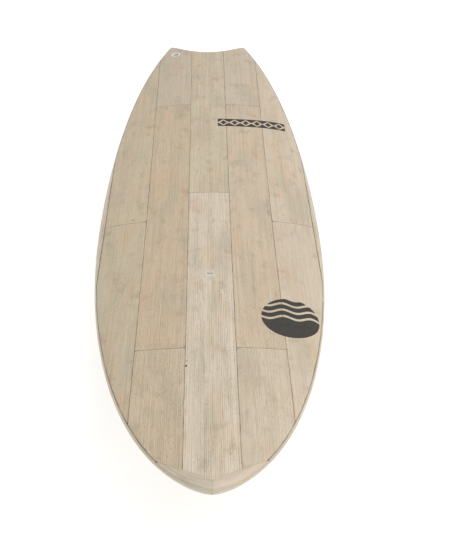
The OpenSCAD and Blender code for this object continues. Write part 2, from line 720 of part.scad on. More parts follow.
// ---- Nose and tail blocks ----
BLOCK_COLS = 12;
BLOCK_ROWS = 6;
BLOCK_END = 4; // the block's thin corner stops this far short of the outline's corner
function nose_plan() = [
    for (i = [0:BLOCK_ROWS]) [
        for (j = [0:BLOCK_COLS])
            let (
                x = seam / 2 + (CORNER_X - BLOCK_END - seam / 2) * j / BLOCK_COLS,
                a = nose_t(x),
                b = block_line(x) - seam / 2
            )
            [x, a + (b - a) * (1 - cos(90 * i / BLOCK_ROWS))]
    ]
];
module nose_block(side) {
    color("burlywood") slab(plan_on_side(side, nose_plan()), DECK, BOTTOM);
}
TAIL_ROWS = 2;
TAIL_COLS = 12;
function tail_plan() = [
    for (i = [0:TAIL_ROWS]) [
        for (j = [-TAIL_COLS:TAIL_COLS])
            let (t = tail_line + seam / 2 + (tail_block - seam / 2) * i / TAIL_ROWS)
            [sign(j) * half_w(t) * dense_side(abs(j), TAIL_COLS), t]
    ]
];
module tail_block() {
    color("burlywood") slab(tail_plan(), DECK, BOTTOM);
}

foam_core();
deck_glass();
bottom_glass();
deck_mid_nose();  // deck_plank_mid_nose
deck_mid_tail();  // deck_plank_mid_tail
deck_inner_nose(1);  // deck_plank_inner_left_nose
deck_inner_mid(1);  // deck_plank_inner_left_mid
deck_inner_tail(1);  // deck_plank_inner_left_tail
deck_inner_nose(-1);  // deck_plank_inner_right_nose
deck_inner_mid(-1);  // deck_plank_inner_right_mid
deck_inner_tail(-1);  // deck_plank_inner_right_tail
deck_outer_nose(1);  // deck_plank_outer_left_nose
deck_outer_tail(1);  // deck_plank_outer_left_tail
deck_outer_nose(-1);  // deck_plank_outer_right_nose
deck_outer_tail(-1);  // deck_plank_outer_right_tail
bottom_mid_nose();  // bottom_plank_mid_nose
bottom_mid_tail();  // bottom_plank_mid_tail
bottom_inner_nose(1);  // bottom_plank_inner_left_nose
bottom_inner_tail(1);  // bottom_plank_inner_left_tail
bottom_inner_nose(-1);  // bottom_plank_inner_right_nose
bottom_inner_tail(-1);  // bottom_plank_inner_right_tail
bottom_outer_nose(1);  // bottom_plank_outer_left_nose
bottom_outer_tail(1);  // bottom_plank_outer_left_tail
bottom_outer_nose(-1);  // bottom_plank_outer_right_nose
bottom_outer_tail(-1);  // bottom_plank_outer_right_tail
rail_cap(1);  // rail_cap_left
rail_cap(-1);  // rail_cap_right
rail_strip(1, 0);  // rail_strip_outer_left
rail_strip(-1, 0);  // rail_strip_outer_right
rail_strip(1, 1);  // rail_strip_inner_left
rail_strip(-1, 1);  // rail_strip_inner_right
nose_block(1);  // nose_block_left
nose_block(-1);  // nose_block_right
tail_block();
vent_insert();
vent_body();
vent_screw();
vent_o_ring();
vent_membrane();
leash_insert();
leash_cup();
leash_bar();
fin_insert(1);  // fin_insert_left
fin_insert(-1);  // fin_insert_right
fin_insert(0);  // fin_insert_centre
fin_box(1);  // fin_box_left
fin_box(-1);  // fin_box_right
fin_box(0);  // fin_box_centre
fin(1);  // fin_left
fin(-1);  // fin_right
fin(0);  // fin_centre
grub_screw(1);  // grub_screw_left
grub_screw(-1);  // grub_screw_right
grub_screw(0);  // grub_screw_centre
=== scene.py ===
"""Looks of a balsa-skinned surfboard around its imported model.

The planks, rail caps, blocks, glue lines, marks, fins, vent and leash cup are built as smooth
meshes on the board's own surfaces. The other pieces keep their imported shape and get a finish.

Lengths are in millimetres until a mesh is written in metres, except in the studio. t is the
distance from the nose tip along the board, x runs to the rider's left, and z is up through the
deck.
"""
from __future__ import annotations

import logging
import math
from collections.abc import Callable
from dataclasses import dataclass, field
from enum import Enum
from functools import cached_property

import bmesh
import bpy
import numpy as np
from mathutils import Matrix, Vector


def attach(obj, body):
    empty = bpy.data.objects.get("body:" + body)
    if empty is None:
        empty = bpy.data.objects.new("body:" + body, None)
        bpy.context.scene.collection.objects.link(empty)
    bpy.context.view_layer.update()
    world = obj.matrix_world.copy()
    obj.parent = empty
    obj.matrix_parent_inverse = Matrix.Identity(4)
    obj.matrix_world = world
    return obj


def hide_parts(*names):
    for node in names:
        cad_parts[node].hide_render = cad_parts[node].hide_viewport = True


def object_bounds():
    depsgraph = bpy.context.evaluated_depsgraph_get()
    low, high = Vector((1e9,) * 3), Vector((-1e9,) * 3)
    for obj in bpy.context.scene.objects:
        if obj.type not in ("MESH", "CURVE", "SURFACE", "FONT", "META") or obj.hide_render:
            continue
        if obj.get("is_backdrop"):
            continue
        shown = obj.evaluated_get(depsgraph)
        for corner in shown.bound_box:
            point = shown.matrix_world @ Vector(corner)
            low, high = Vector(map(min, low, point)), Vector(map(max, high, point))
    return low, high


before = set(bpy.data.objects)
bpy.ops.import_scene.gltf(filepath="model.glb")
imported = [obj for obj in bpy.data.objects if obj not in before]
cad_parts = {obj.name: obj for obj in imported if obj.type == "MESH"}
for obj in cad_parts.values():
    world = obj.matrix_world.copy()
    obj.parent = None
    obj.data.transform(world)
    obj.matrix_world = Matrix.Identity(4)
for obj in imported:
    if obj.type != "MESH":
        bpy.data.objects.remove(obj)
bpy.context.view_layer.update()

MM = 0.001
WELD = 1e-6  # metres: points closer than this are one point
UNSTAINED = 99.0  # distance from a glued edge that no stain reaches
WAVE_TURN = math.tau / 20  # the wave texture's period at scale 1
CREASE = 38.0  # degrees: faces that meet at more than this keep a sharp edge
AXIS_R = 0.05  # radius of the tiny hole that a lathed solid keeps on its axis
log = logging.getLogger("surfboard")

Array = np.ndarray
Colour = tuple[float, float, float, float]


class Face(Enum):
    """The two skinned faces of the board."""

    DECK = "deck"
    BOTTOM = "bottom"


class Side(Enum):
    """Where a piece stands across the board, as the sign of x."""

    LEFT = 1
    CENTRE = 0
    RIGHT = -1


# ---- Nodes and finishes ----


def linear(hex_colour: str) -> Colour:
    """The linear RGBA colour of an sRGB hex colour."""
    channels = [int(hex_colour[i : i + 2], 16) / 255 for i in (1, 3, 5)]
    red, green, blue = [c / 12.92 if c <= 0.04045 else ((c + 0.055) / 1.055) ** 2.4 for c in channels]
    return red, green, blue, 1.0


def add(
    tree: bpy.types.NodeTree,
    kind: str,
    settings: dict | None = None,
    inputs: dict | None = None,
) -> bpy.types.Node:
    """Adds a node with its settings and links.

    Args:
        tree: the node tree that gets the node.
        kind: the node's type name.
        settings: the node's own properties.
        inputs: for each input, a value or the socket to link it from.

    Returns:
        The new node.
    """
    node = tree.nodes.new(kind)
    for name, value in (settings or {}).items():
        setattr(node, name, value)
    for name, value in (inputs or {}).items():
        if isinstance(value, bpy.types.NodeSocket):
            tree.links.new(value, node.inputs[name])
        else:
            node.inputs[name].default_value = value
    return node


def patches(
    tree: bpy.types.NodeTree,
    place: bpy.types.NodeSocket,
    size: tuple[float, float, float],
    low: float,
    high: float,
    detail: float = 2.0,
) -> bpy.types.NodeSocket:
    """Soft-edged random patches, drawn out to a given size.

    Args:
        tree: the node tree.
        place: coordinates in millimetres.
        size: rough size of a patch along the three axes, in millimetres.
        low: noise level at which a patch starts.
        high: noise level at which a patch is full.
        detail: how many finer levels break up the edges.

    Returns:
        A socket that runs from 0 outside the patches to 1 inside them.
    """
    scaled = add(tree, "ShaderNodeVectorMath", {"operation": "DIVIDE"}, {0: place, 1: size})
    noise = add(
        tree,
        "ShaderNodeTexNoise",
        None,
        {"Vector": scaled.outputs[0], "Scale": 1.0, "Detail": detail},
    )
    mask = add(
        tree,
        "ShaderNodeMapRange",
        {"interpolation_type": "SMOOTHSTEP"},
        {"Value": noise.outputs[0], "From Min": low, "From Max": high},
    )
    return mask.outputs[0]


def tint(
    tree: bpy.types.NodeTree,
    mask: bpy.types.NodeSocket,
    strength: float,
    under: bpy.types.NodeSocket | Colour,
    over: bpy.types.NodeSocket | Colour,
) -> bpy.types.NodeSocket:
    """Colours the surface where a mask is high.

    Args:
        tree: the node tree.
        mask: socket from 0 to 1.
        strength: share of the new colour where the mask is 1.
        under: colour where the mask is 0.
        over: colour that the mask brings in.

    Returns:
        The mixed colour.
    """
    share = add(tree, "ShaderNodeMath", {"operation": "MULTIPLY"}, {0: mask, 1: strength})
    mixed = add(tree, "ShaderNodeMix", {"data_type": "RGBA"}, {0: share.outputs[0], 6: under, 7: over})
    return mixed.outputs[2]


def object_mm(tree: bpy.types.NodeTree) -> bpy.types.NodeSocket:
    """The piece's own coordinates in millimetres."""
    place = add(tree, "ShaderNodeTexCoord").outputs["Object"]
    return add(tree, "ShaderNodeVectorMath", {"operation": "SCALE"}, {0: place, "Scale": 1 / MM}).outputs[0]


@dataclass(frozen=True)
class Finish:
    """A finish that is made once and shared by every piece that has it."""

    name: str

    def surface(self, tree: bpy.types.NodeTree) -> bpy.types.NodeSocket:
        """The shader socket of the finish."""
        raise NotImplementedError

    def dress(self, piece: bpy.types.Object) -> None:
        """Gives the piece this finish in every material slot."""
        material = bpy.data.materials.get(self.name)
        if material is None:
            material = bpy.data.materials.new(self.name)
            material.use_nodes = True
            tree = material.node_tree
            tree.nodes.clear()
            add(tree, "ShaderNodeOutputMaterial", None, {"Surface": self.surface(tree)})
        if not piece.material_slots:
            piece.data.materials.append(material)
        for held in piece.material_slots:
            held.material = material


@dataclass(frozen=True)
class CoatedBalsa(Finish):
    """Quarter-sawn balsa, sanded and sealed under a thin satin coat of clear epoxy.

    The eye sees fine growth lines along the plank, short dark vessel marks, slow patches of
    warmer and greyer wood, and a dark line of glue that has crept into the plank's edges.
    """

    pale: str = "#D3C5AD"
    line_pitch: float = 3.4  # between growth lines
    line_depth: float = 0.4
    fleck: float = 0.5
    shift: tuple[float, float, float] = (0.0, 0.0, 0.0)
    lamination: float = 0.0  # thickness of one laminated layer, or 0 for a plain plank
    coat: float = 0.25  # how much the clear coat shows
    glue: float = 0.35  # how dark the glue between two laminated layers is

    LINE_COLOUR = "#8E7C62"
    FLECK_COLOUR = "#66543E"
    WARM_COLOUR = "#CBAA86"
    GREY_COLOUR = "#ACA793"
    GLUE_COLOUR = "#4B4033"
    FIBRE = (0.5, 26.0, 0.5)  # one fibre bundle
    VESSEL = (0.9, 6.0, 0.9)  # one vessel mark; real ones are finer, and this is as fine as shows
    DASH = (1.5, 34.0, 1.5)  # the unbroken run of a growth line
    LINE_RUN = 420.0  # how far a faint line runs along the plank
    WANDER = 0.004  # how fast the growth lines change along the plank, against across it
    ELSEWHERE = (900.0, 5000.0, 0.0)  # another part of the same noise, for patches of their own
    STREAK = (3.0, 190.0, 3.0)
    PATCH = (42.0, 170.0, 42.0)
    SMUDGE = (26.0, 42.0, 26.0)
    CROWD = (36.0, 60.0, 36.0)  # a crowd of vessel marks
    BAND = (11.0, 700.0, 11.0)  # a band of growth lines
    SPARSE = 0.35  # what is left of the lines and the marks outside their bands and crowds
    SOAK = (20.0, 28.0, 20.0)  # a stretch of edge that took up glue
    STAIN = 1.1  # how far the glue creeps into the edge
    STAIN_DEPTH = 0.6
    GLUE_LINE = 0.9

    def surface(self, tree: bpy.types.NodeTree) -> bpy.types.NodeSocket:
        """The shader socket of the wood."""
        grain = add(tree, "ShaderNodeAttribute", {"attribute_name": "grain"})
        edge = add(tree, "ShaderNodeAttribute", {"attribute_name": "edge"})
        moved = add(tree, "ShaderNodeVectorMath", None, {0: grain.outputs["Vector"], 1: self.shift})
        place = moved.outputs[0]
        half = self.line_pitch / 2
        lines = patches(tree, place, (half, self.LINE_RUN, half), 0.42, 0.62, 1.0)
        drawn = add(
            tree,
            "ShaderNodeVectorMath",
            {"operation": "MULTIPLY"},
            {0: place, 1: (1.0, self.WANDER, 1.0)},
        )
        rings = add(
            tree,
            "ShaderNodeTexWave",
            {"bands_direction": "X"},
            {
                "Vector": drawn.outputs[0],
                "Scale": WAVE_TURN / self.line_pitch,
                "Distortion": 1.6,
                "Detail": 1.0,
                "Detail Scale": 0.3,
            },
        )
        thin = add(
            tree,
            "ShaderNodeMapRange",
            {"interpolation_type": "SMOOTHSTEP"},
            {"Value": rings.outputs[1], "From Min": 0.55},
        )
        dashes = patches(tree, place, self.DASH, 0.36, 0.6)
        even = add(tree, "ShaderNodeMath", {"operation": "MULTIPLY"}, {0: thin.outputs[0], 1: dashes})
        bands = patches(tree, place, self.BAND, 0.4, 0.6, 1.0)
        shown = add(tree, "ShaderNodeMapRange", None, {"Value": bands, "To Min": self.SPARSE})
        banded = add(
            tree,
            "ShaderNodeMath",
            {"operation": "MULTIPLY"},
            {0: even.outputs[0], 1: shown.outputs[0]},
        )
        fibres = patches(tree, place, self.FIBRE, 0.35, 0.7)
        streaks = patches(tree, place, self.STREAK, 0.45, 0.7)
        vessels = patches(tree, place, self.VESSEL, 0.6, 0.68)
        crowds = patches(tree, place, self.CROWD, 0.42, 0.62)
        dense = add(tree, "ShaderNodeMapRange", None, {"Value": crowds, "To Min": self.SPARSE})
        crowded = add(tree, "ShaderNodeMath", {"operation": "MULTIPLY"}, {0: vessels, 1: dense.outputs[0]})
        smudges = patches(tree, place, self.SMUDGE, 0.54, 0.76)
        warm = patches(tree, place, self.PATCH, 0.45, 0.72)
        far = add(tree, "ShaderNodeVectorMath", None, {0: place, 1: self.ELSEWHERE})
        grey = patches(tree, far.outputs[0], self.PATCH, 0.45, 0.72)

        colour = tint(tree, warm, 0.36, linear(self.pale), linear(self.WARM_COLOUR))
        colour = tint(tree, grey, 0.4, colour, linear(self.GREY_COLOUR))
        colour = tint(tree, streaks, 0.18, colour, linear(self.LINE_COLOUR))
        colour = tint(tree, smudges, 0.32, colour, linear(self.LINE_COLOUR))
        colour = tint(tree, lines, 0.14, colour, linear(self.LINE_COLOUR))
        colour = tint(tree, banded.outputs[0], self.line_depth, colour, linear(self.LINE_COLOUR))
        colour = tint(tree, fibres, 0.12, colour, linear(self.FLECK_COLOUR))
        colour = tint(tree, crowded.outputs[0], self.fleck, colour, linear(self.FLECK_COLOUR))
        creep = add(
            tree,
            "ShaderNodeMapRange",
            {"interpolation_type": "SMOOTHSTEP"},
            {"Value": edge.outputs["Fac"], "From Max": self.STAIN, "To Min": 1.0, "To Max": 0.0},
        )
        soaked = patches(tree, place, self.SOAK, 0.35, 0.7)
        stain = add(tree, "ShaderNodeMath", {"operation": "MULTIPLY"}, {0: creep.outputs[0], 1: soaked})
        colour = tint(tree, stain.outputs[0], self.STAIN_DEPTH, colour, linear(self.GLUE_COLOUR))
        if self.lamination:
            across = add(tree, "ShaderNodeSeparateXYZ", None, {0: grain.outputs["Vector"]})
            nearest = add(
                tree,
                "ShaderNodeMath",
                {"operation": "PINGPONG"},
                {0: across.outputs["X"], 1: self.lamination / 2},
            )
            glue = add(
                tree,
                "ShaderNodeMapRange",
                {"interpolation_type": "SMOOTHSTEP"},
                {
                    "Value": nearest.outputs[0],
                    "From Min": self.lamination / 2 - self.GLUE_LINE,
                    "From Max": self.lamination / 2,
                },
            )
            colour = tint(tree, glue.outputs[0], self.glue, colour, linear(self.GLUE_COLOUR))
        satin = add(tree, "ShaderNodeMapRange", None, {"Value": fibres, "To Min": 0.42, "To Max": 0.56})
        relief = add(
            tree,
            "ShaderNodeBump",
            {"invert": True},
            {"Height": fibres, "Strength": 0.2, "Distance": 0.08 * MM},
        )
        shader = add(
            tree,
            "ShaderNodeBsdfPrincipled",
            None,
            {
                "Base Color": colour,
                "Roughness": satin.outputs[0],
                "IOR": 1.5,
                "Normal": relief.outputs[0],
                "Coat Weight": self.coat,
                "Coat Roughness": 0.3,
                "Coat IOR": 1.5,
            },
        )
        return shader.outputs[0]


@dataclass(frozen=True)
class Moulded(Finish):
    """A moulded, cast or printed material: two close tones in soft patches and a fine skin."""

    colour: str
    second: str
    patch: float  # size of a tone patch
    skin: float  # size of the surface's fine texture
    roughness: float
    ior: float = 1.5
    relief: float = 0.03  # depth of the fine texture

    def surface(self, tree: bpy.types.NodeTree) -> bpy.types.NodeSocket:
        """The shader socket of the moulded material."""
        place = object_mm(tree)
        tone = patches(tree, place, (self.patch,) * 3, 0.35, 0.65)
        fine = patches(tree, place, (self.skin,) * 3, 0.3, 0.7)
        colour = tint(tree, tone, 0.8, linear(self.colour), linear(self.second))
        colour = tint(tree, fine, 0.15, colour, linear(self.second))
        gloss = add(
            tree,
            "ShaderNodeMapRange",
            None,
            {"Value": fine, "To Min": self.roughness * 0.85, "To Max": self.roughness * 1.15},
        )
        relief = add(
            tree,
            "ShaderNodeBump",
            None,
            {"Height": fine, "Strength": 0.5, "Distance": self.relief * MM},
        )
        shader = add(
            tree,
            "ShaderNodeBsdfPrincipled",
            None,
            {
                "Base Color": colour,
                "Roughness": gloss.outputs[0],
                "IOR": self.ior,
                "Normal": relief.outputs[0],
            },
        )
        return shader.outputs[0]


@dataclass(frozen=True)
class CellFoam(Finish):
    """Bead or structural foam: packed cells with darker walls and a matt, pitted skin."""

    colour: str
    wall: str
    cell: float  # size of one bead or cell

    def surface(self, tree: bpy.types.NodeTree) -> bpy.types.NodeSocket:
        """The shader socket of the foam."""
        place = add(tree, "ShaderNodeTexCoord")
        cells = add(
            tree,
            "ShaderNodeTexVoronoi",
            {"feature": "DISTANCE_TO_EDGE"},
            {"Vector": place.outputs["Object"], "Scale": 1 / (self.cell * MM)},
        )
        walls = add(
            tree,
            "ShaderNodeMapRange",
            None,
            {"Value": cells.outputs["Distance"], "From Max": 0.12, "To Min": 1.0, "To Max": 0.0},
        )
        colour = tint(tree, walls.outputs[0], 0.7, linear(self.colour), linear(self.wall))
        relief = add(
            tree,
            "ShaderNodeBump",
            {"invert": True},
            {"Height": walls.outputs[0], "Strength": 0.6, "Distance": 0.1 * MM},
        )
        shader = add(
            tree,
            "ShaderNodeBsdfPrincipled",
            None,
            {"Base Color": colour, "Roughness": 0.85, "IOR": 1.5, "Normal": relief.outputs[0]},
        )
        return shader.outputs[0]


@dataclass(frozen=True)
class ResinCloth(Finish):
    """Plain-woven glass cloth wetted out with epoxy: crossing threads under a glossy skin."""

    thread: str
    resin: str
    pitch: float  # between threads
    roughness: float
    axes: tuple[str, str] = ("X", "Y")  # the weave's two directions
    cloud: float = 30.0  # size of the resin's cloudiness

    def surface(self, tree: bpy.types.NodeTree) -> bpy.types.NodeSocket:
        """The shader socket of the laminate."""
        place = add(tree, "ShaderNodeTexCoord")
        warp, weft = [
            add(
                tree,
                "ShaderNodeTexWave",
                {"bands_direction": axis},
                {
                    "Vector": place.outputs["Object"],
                    "Scale": WAVE_TURN / (self.pitch * MM),
                    "Distortion": 0.4,
                    "Detail": 1.0,
                },
            )
            for axis in self.axes
        ]
        weave = add(
            tree,
            "ShaderNodeMath",
            {"operation": "MULTIPLY"},
            {0: warp.outputs[1], 1: weft.outputs[1]},
        )
        cloud = patches(tree, object_mm(tree), (self.cloud,) * 3, 0.4, 0.7)
        colour = tint(tree, weave.outputs[0], 0.8, linear(self.resin), linear(self.thread))
        colour = tint(tree, cloud, 0.25, colour, linear(self.resin))
        relief = add(
            tree,
            "ShaderNodeBump",
            None,
            {"Height": weave.outputs[0], "Strength": 0.15, "Distance": 0.05 * MM},
        )
        shader = add(
            tree,
            "ShaderNodeBsdfPrincipled",
            None,
            {
                "Base Color": colour,
                "Roughness": self.roughness,
                "IOR": 1.55,
                "Normal": relief.outputs[0],
                "Coat Weight": 0.5,
                "Coat Roughness": 0.08,
            },
        )
        return shader.outputs[0]


@dataclass(frozen=True)
class TurnedSteel(Finish):
    """Stainless steel turned on a lathe: a grey metal with fine tool lines around its axis."""

    colour: str = "#B9B8B4"
    line: float = 0.25  # between tool lines
    line_run: float = 4.0  # length of the stretches that a tool line is seen in

    def surface(self, tree: bpy.types.NodeTree) -> bpy.types.NodeSocket:
        """The shader socket of the steel."""
        lines = patches(tree, object_mm(tree), (self.line, self.line_run, self.line), 0.35, 0.65)
        colour = tint(tree, lines, 0.25, linear(self.colour), linear("#8A8985"))
        gloss = add(tree, "ShaderNodeMapRange", None, {"Value": lines, "To Min": 0.26, "To Max": 0.36})
        relief = add(tree, "ShaderNodeBump", None, {"Height": lines, "Strength": 0.3, "Distance": 0.01 * MM})
        shader = add(
            tree,
            "ShaderNodeBsdfPrincipled",
            None,
            {
                "Base Color": colour,
                "Metallic": 1.0,
                "Roughness": gloss.outputs[0],
                "Normal": relief.outputs[0],
            },
        )
        return shader.outputs[0]


@dataclass(frozen=True)
class StudioPaper(Finish):
    """White background paper, lit through so that shadows on it stay faint."""

    colour: str = "#C9C9C8"
    second: str = "#C2C2C1"
    cloud: float = 300.0  # size of the paper's cloudiness
    glow: float = 0.62

    def surface(self, tree: bpy.types.NodeTree) -> bpy.types.NodeSocket:
        """The shader socket of the paper."""
        cloud = patches(tree, object_mm(tree), (self.cloud,) * 3, 0.3, 0.7)
        colour = tint(tree, cloud, 1.0, linear(self.colour), linear(self.second))
        shader = add(
            tree,
            "ShaderNodeBsdfPrincipled",
            None,
            {
                "Base Color": colour,
                "Roughness": 0.9,
                "IOR": 1.45,
                "Emission Color": linear("#FFFFFF"),
                "Emission Strength": self.glow,
            },
        )
        return shader.outputs[0]


# ---- Mesh work ----


def in_scene(name: str, data: bpy.types.ID) -> bpy.types.Object:
    """Puts a mesh, a lamp or a camera in the scene."""
    thing = bpy.data.objects.new(name, data)
    bpy.context.scene.collection.objects.link(thing)
    return thing


def smooth_piece(name: str, points: Array, faces: list, crease: float = CREASE) -> bpy.types.Object:
    """Makes a closed, smoothly shaded mesh piece.

    Args:
        name: the piece's name.
        points: one row of x, y and z in millimetres for each point.
        faces: the point numbers of each face.
        crease: faces that meet at more than this many degrees keep a sharp edge.

    Returns:
        The piece, in the scene.
    """
    mesh = bpy.data.meshes.new(name)
    mesh.from_pydata((points * MM).tolist(), [], [list(map(int, face)) for face in faces])
    edit = bmesh.new()
    edit.from_mesh(mesh)
    bmesh.ops.remove_doubles(edit, verts=edit.verts, dist=WELD)
    bmesh.ops.dissolve_degenerate(edit, edges=edit.edges, dist=WELD / 4)
    bmesh.ops.recalc_face_normals(edit, faces=edit.faces)
    edit.to_mesh(mesh)
    edit.free()
    mesh.polygons.foreach_set("use_smooth", np.ones(len(mesh.polygons), bool))
    mesh.set_sharp_from_angle(angle=math.radians(crease))
    return in_scene(name, mesh)


def slab_faces(rows: int, cols: int, first: int = 0) -> list[tuple[int, ...]]:
    """The faces of a closed slab between two grids.

    Args:
        rows: points along the board.
        cols: points across the board.
        first: number of the slab's first point; the top grid comes before the under grid.

    Returns:
        The point numbers of each face.
    """
    top = np.arange(rows * cols).reshape(rows, cols) + first
    under = top + rows * cols
    faces = []
    for grid in (top, under[:, ::-1]):
        quads = np.stack([grid[:-1, :-1], grid[:-1, 1:], grid[1:, 1:], grid[1:, :-1]], -1)
        faces.extend(map(tuple, quads.reshape(-1, 4)))
    rim = np.concatenate([top[0, :-1], top[:-1, -1], top[-1, :0:-1], top[:0:-1, 0]])
    for start, end in zip(rim, np.roll(rim, -1)):
        faces.append((start, start + rows * cols, end + rows * cols, end))
    return faces


def slab(name: str, layers: list[tuple[Array, Array]]) -> bpy.types.Object:
    """Makes a piece of one or more closed slabs.

    Args:
        name: the piece's name.
        layers: the top and the under grid of each slab, rows by columns by x, y, z.

    Returns:
        The piece.
    """
    points, faces, count = [], [], 0
    for top, under in layers:
        rows, cols = top.shape[:2]
        faces += slab_faces(rows, cols, count)
        points += [top.reshape(-1, 3), under.reshape(-1, 3)]
        count += 2 * rows * cols
    return smooth_piece(name, np.concatenate(points), faces)


def prism_faces(count: int, first: int = 0) -> list[tuple[int, ...]]:
    """The faces of a prism.

    Args:
        count: corners of its outline.
        first: number of its first point; the upper outline comes before the lower one.

    Returns:
        The point numbers of each face.
    """
    end = first + count
    faces = [tuple(range(first, end)), tuple(range(end + count - 1, end - 1, -1))]
    for i in range(count):
        after = (i + 1) % count
        faces.append((first + i, end + i, end + after, first + after))
    return faces


def prism(name: str, outline: Array, low: float, high: float, place: Matrix) -> bpy.types.Object:
    """Makes an upright prism.

    Args:
        name: the piece's name.
        outline: one row of x and y for each corner.
        low: height of the lower face.
        high: height of the upper face.
        place: where the prism stands on the board.

    Returns:
        The piece.
    """
    count = len(outline)
    levels = [np.column_stack([outline, np.full(count, z)]) for z in (high, low)]
    return smooth_piece(name, moved(np.concatenate(levels), place), prism_faces(count))


def lathe(
    name: str,
    profile: Array,
    place: Matrix,
    around: int = 96,
    cut: Array | None = None,
) -> bpy.types.Object:
    """Turns a closed profile around the local z axis.

    Args:
        name: the piece's name.
        profile: one row of radius and height for each point, in order around the section.
        place: where the axis stands on the board.
        around: points around the axis.
        cut: how much of each radius is cut away, one row a profile point and one column a turn step.

    Returns:
        The piece.
    """
    turn = np.arange(around) * math.tau / around
    radius = profile[:, :1] - (0 if cut is None else cut)
    rings = np.stack(
        [radius * np.cos(turn), radius * np.sin(turn), np.repeat(profile[:, 1:], around, 1)], -1
    )
    count = len(profile)
    faces = []
    for row in range(count):
        low, high = row * around, (row + 1) % count * around
        faces += [(low + i, low + (i + 1) % around, high + (i + 1) % around, high + i) for i in range(around)]
    return smooth_piece(name, moved(rings.reshape(-1, 3), place), faces)


def moved(points: Array, place: Matrix) -> Array:
    """The points after a placing, both in millimetres."""
    return points @ np.array(place.to_3x3()).T + np.array(place.translation)


def round_edges(piece: bpy.types.Object, width: float, steps: int = 3) -> None:
    """Rounds a piece's sharp edges.

    Args:
        piece: the piece.
        width: width of the rounding in millimetres.
        steps: faces across the rounding.
    """
    rounding = piece.modifiers.new("edges", "BEVEL")
    rounding.width = width * MM
    rounding.segments = steps
    rounding.limit_method = "ANGLE"
    rounding.harden_normals = True
    apply_modifiers(piece)


def cut_out(piece: bpy.types.Object, cutters: list[bpy.types.Object]) -> None:
    """Cuts the cutters' shapes out of a piece and removes the cutters."""
    for cutter in cutters:
        opening = piece.modifiers.new("opening", "BOOLEAN")
        opening.operation = "DIFFERENCE"
        opening.solver = "EXACT"
        opening.object = cutter
    apply_modifiers(piece)
    for cutter in cutters:
        bpy.data.objects.remove(cutter)


def apply_modifiers(piece: bpy.types.Object) -> None:
    """Replaces a piece's mesh by its modified mesh."""
    evaluated = piece.evaluated_get(bpy.context.evaluated_depsgraph_get())
    mesh = bpy.data.meshes.new_from_object(evaluated)
    piece.modifiers.clear()
    mesh.name = piece.name
    piece.data = mesh


def point_array(mesh: bpy.types.Mesh) -> Array:
    """A mesh's points in millimetres."""
    flat = np.empty(len(mesh.vertices) * 3)
    mesh.vertices.foreach_get("co", flat)
    return flat.reshape(-1, 3) / MM


def hand_over(
    piece: bpy.types.Object,
    finish: Finish,
    body: str,
    stands_for: tuple[str, ...] = (),
) -> None:
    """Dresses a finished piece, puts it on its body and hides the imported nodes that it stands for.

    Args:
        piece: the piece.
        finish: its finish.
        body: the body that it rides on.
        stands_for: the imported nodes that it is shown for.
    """
    finish.dress(piece)
    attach(piece, body)
    if stands_for:
        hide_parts(*stands_for)
    log.info("%s: %d faces, %s, on %s", piece.name, len(piece.data.polygons), finish.name, body)


# ---- The board's own shape ----


def bezier(ends: list[tuple[float, float]] | Array, share: Array) -> Array:
    """Points of a cubic curve at the given shares of its run."""
    p = np.array(ends, float)[:, None, :]
    u = share[:, None]
    return (1 - u) ** 3 * p[0] + 3 * (1 - u) ** 2 * u * p[1] + 3 * (1 - u) * u**2 * p[2] + u**3 * p[3]


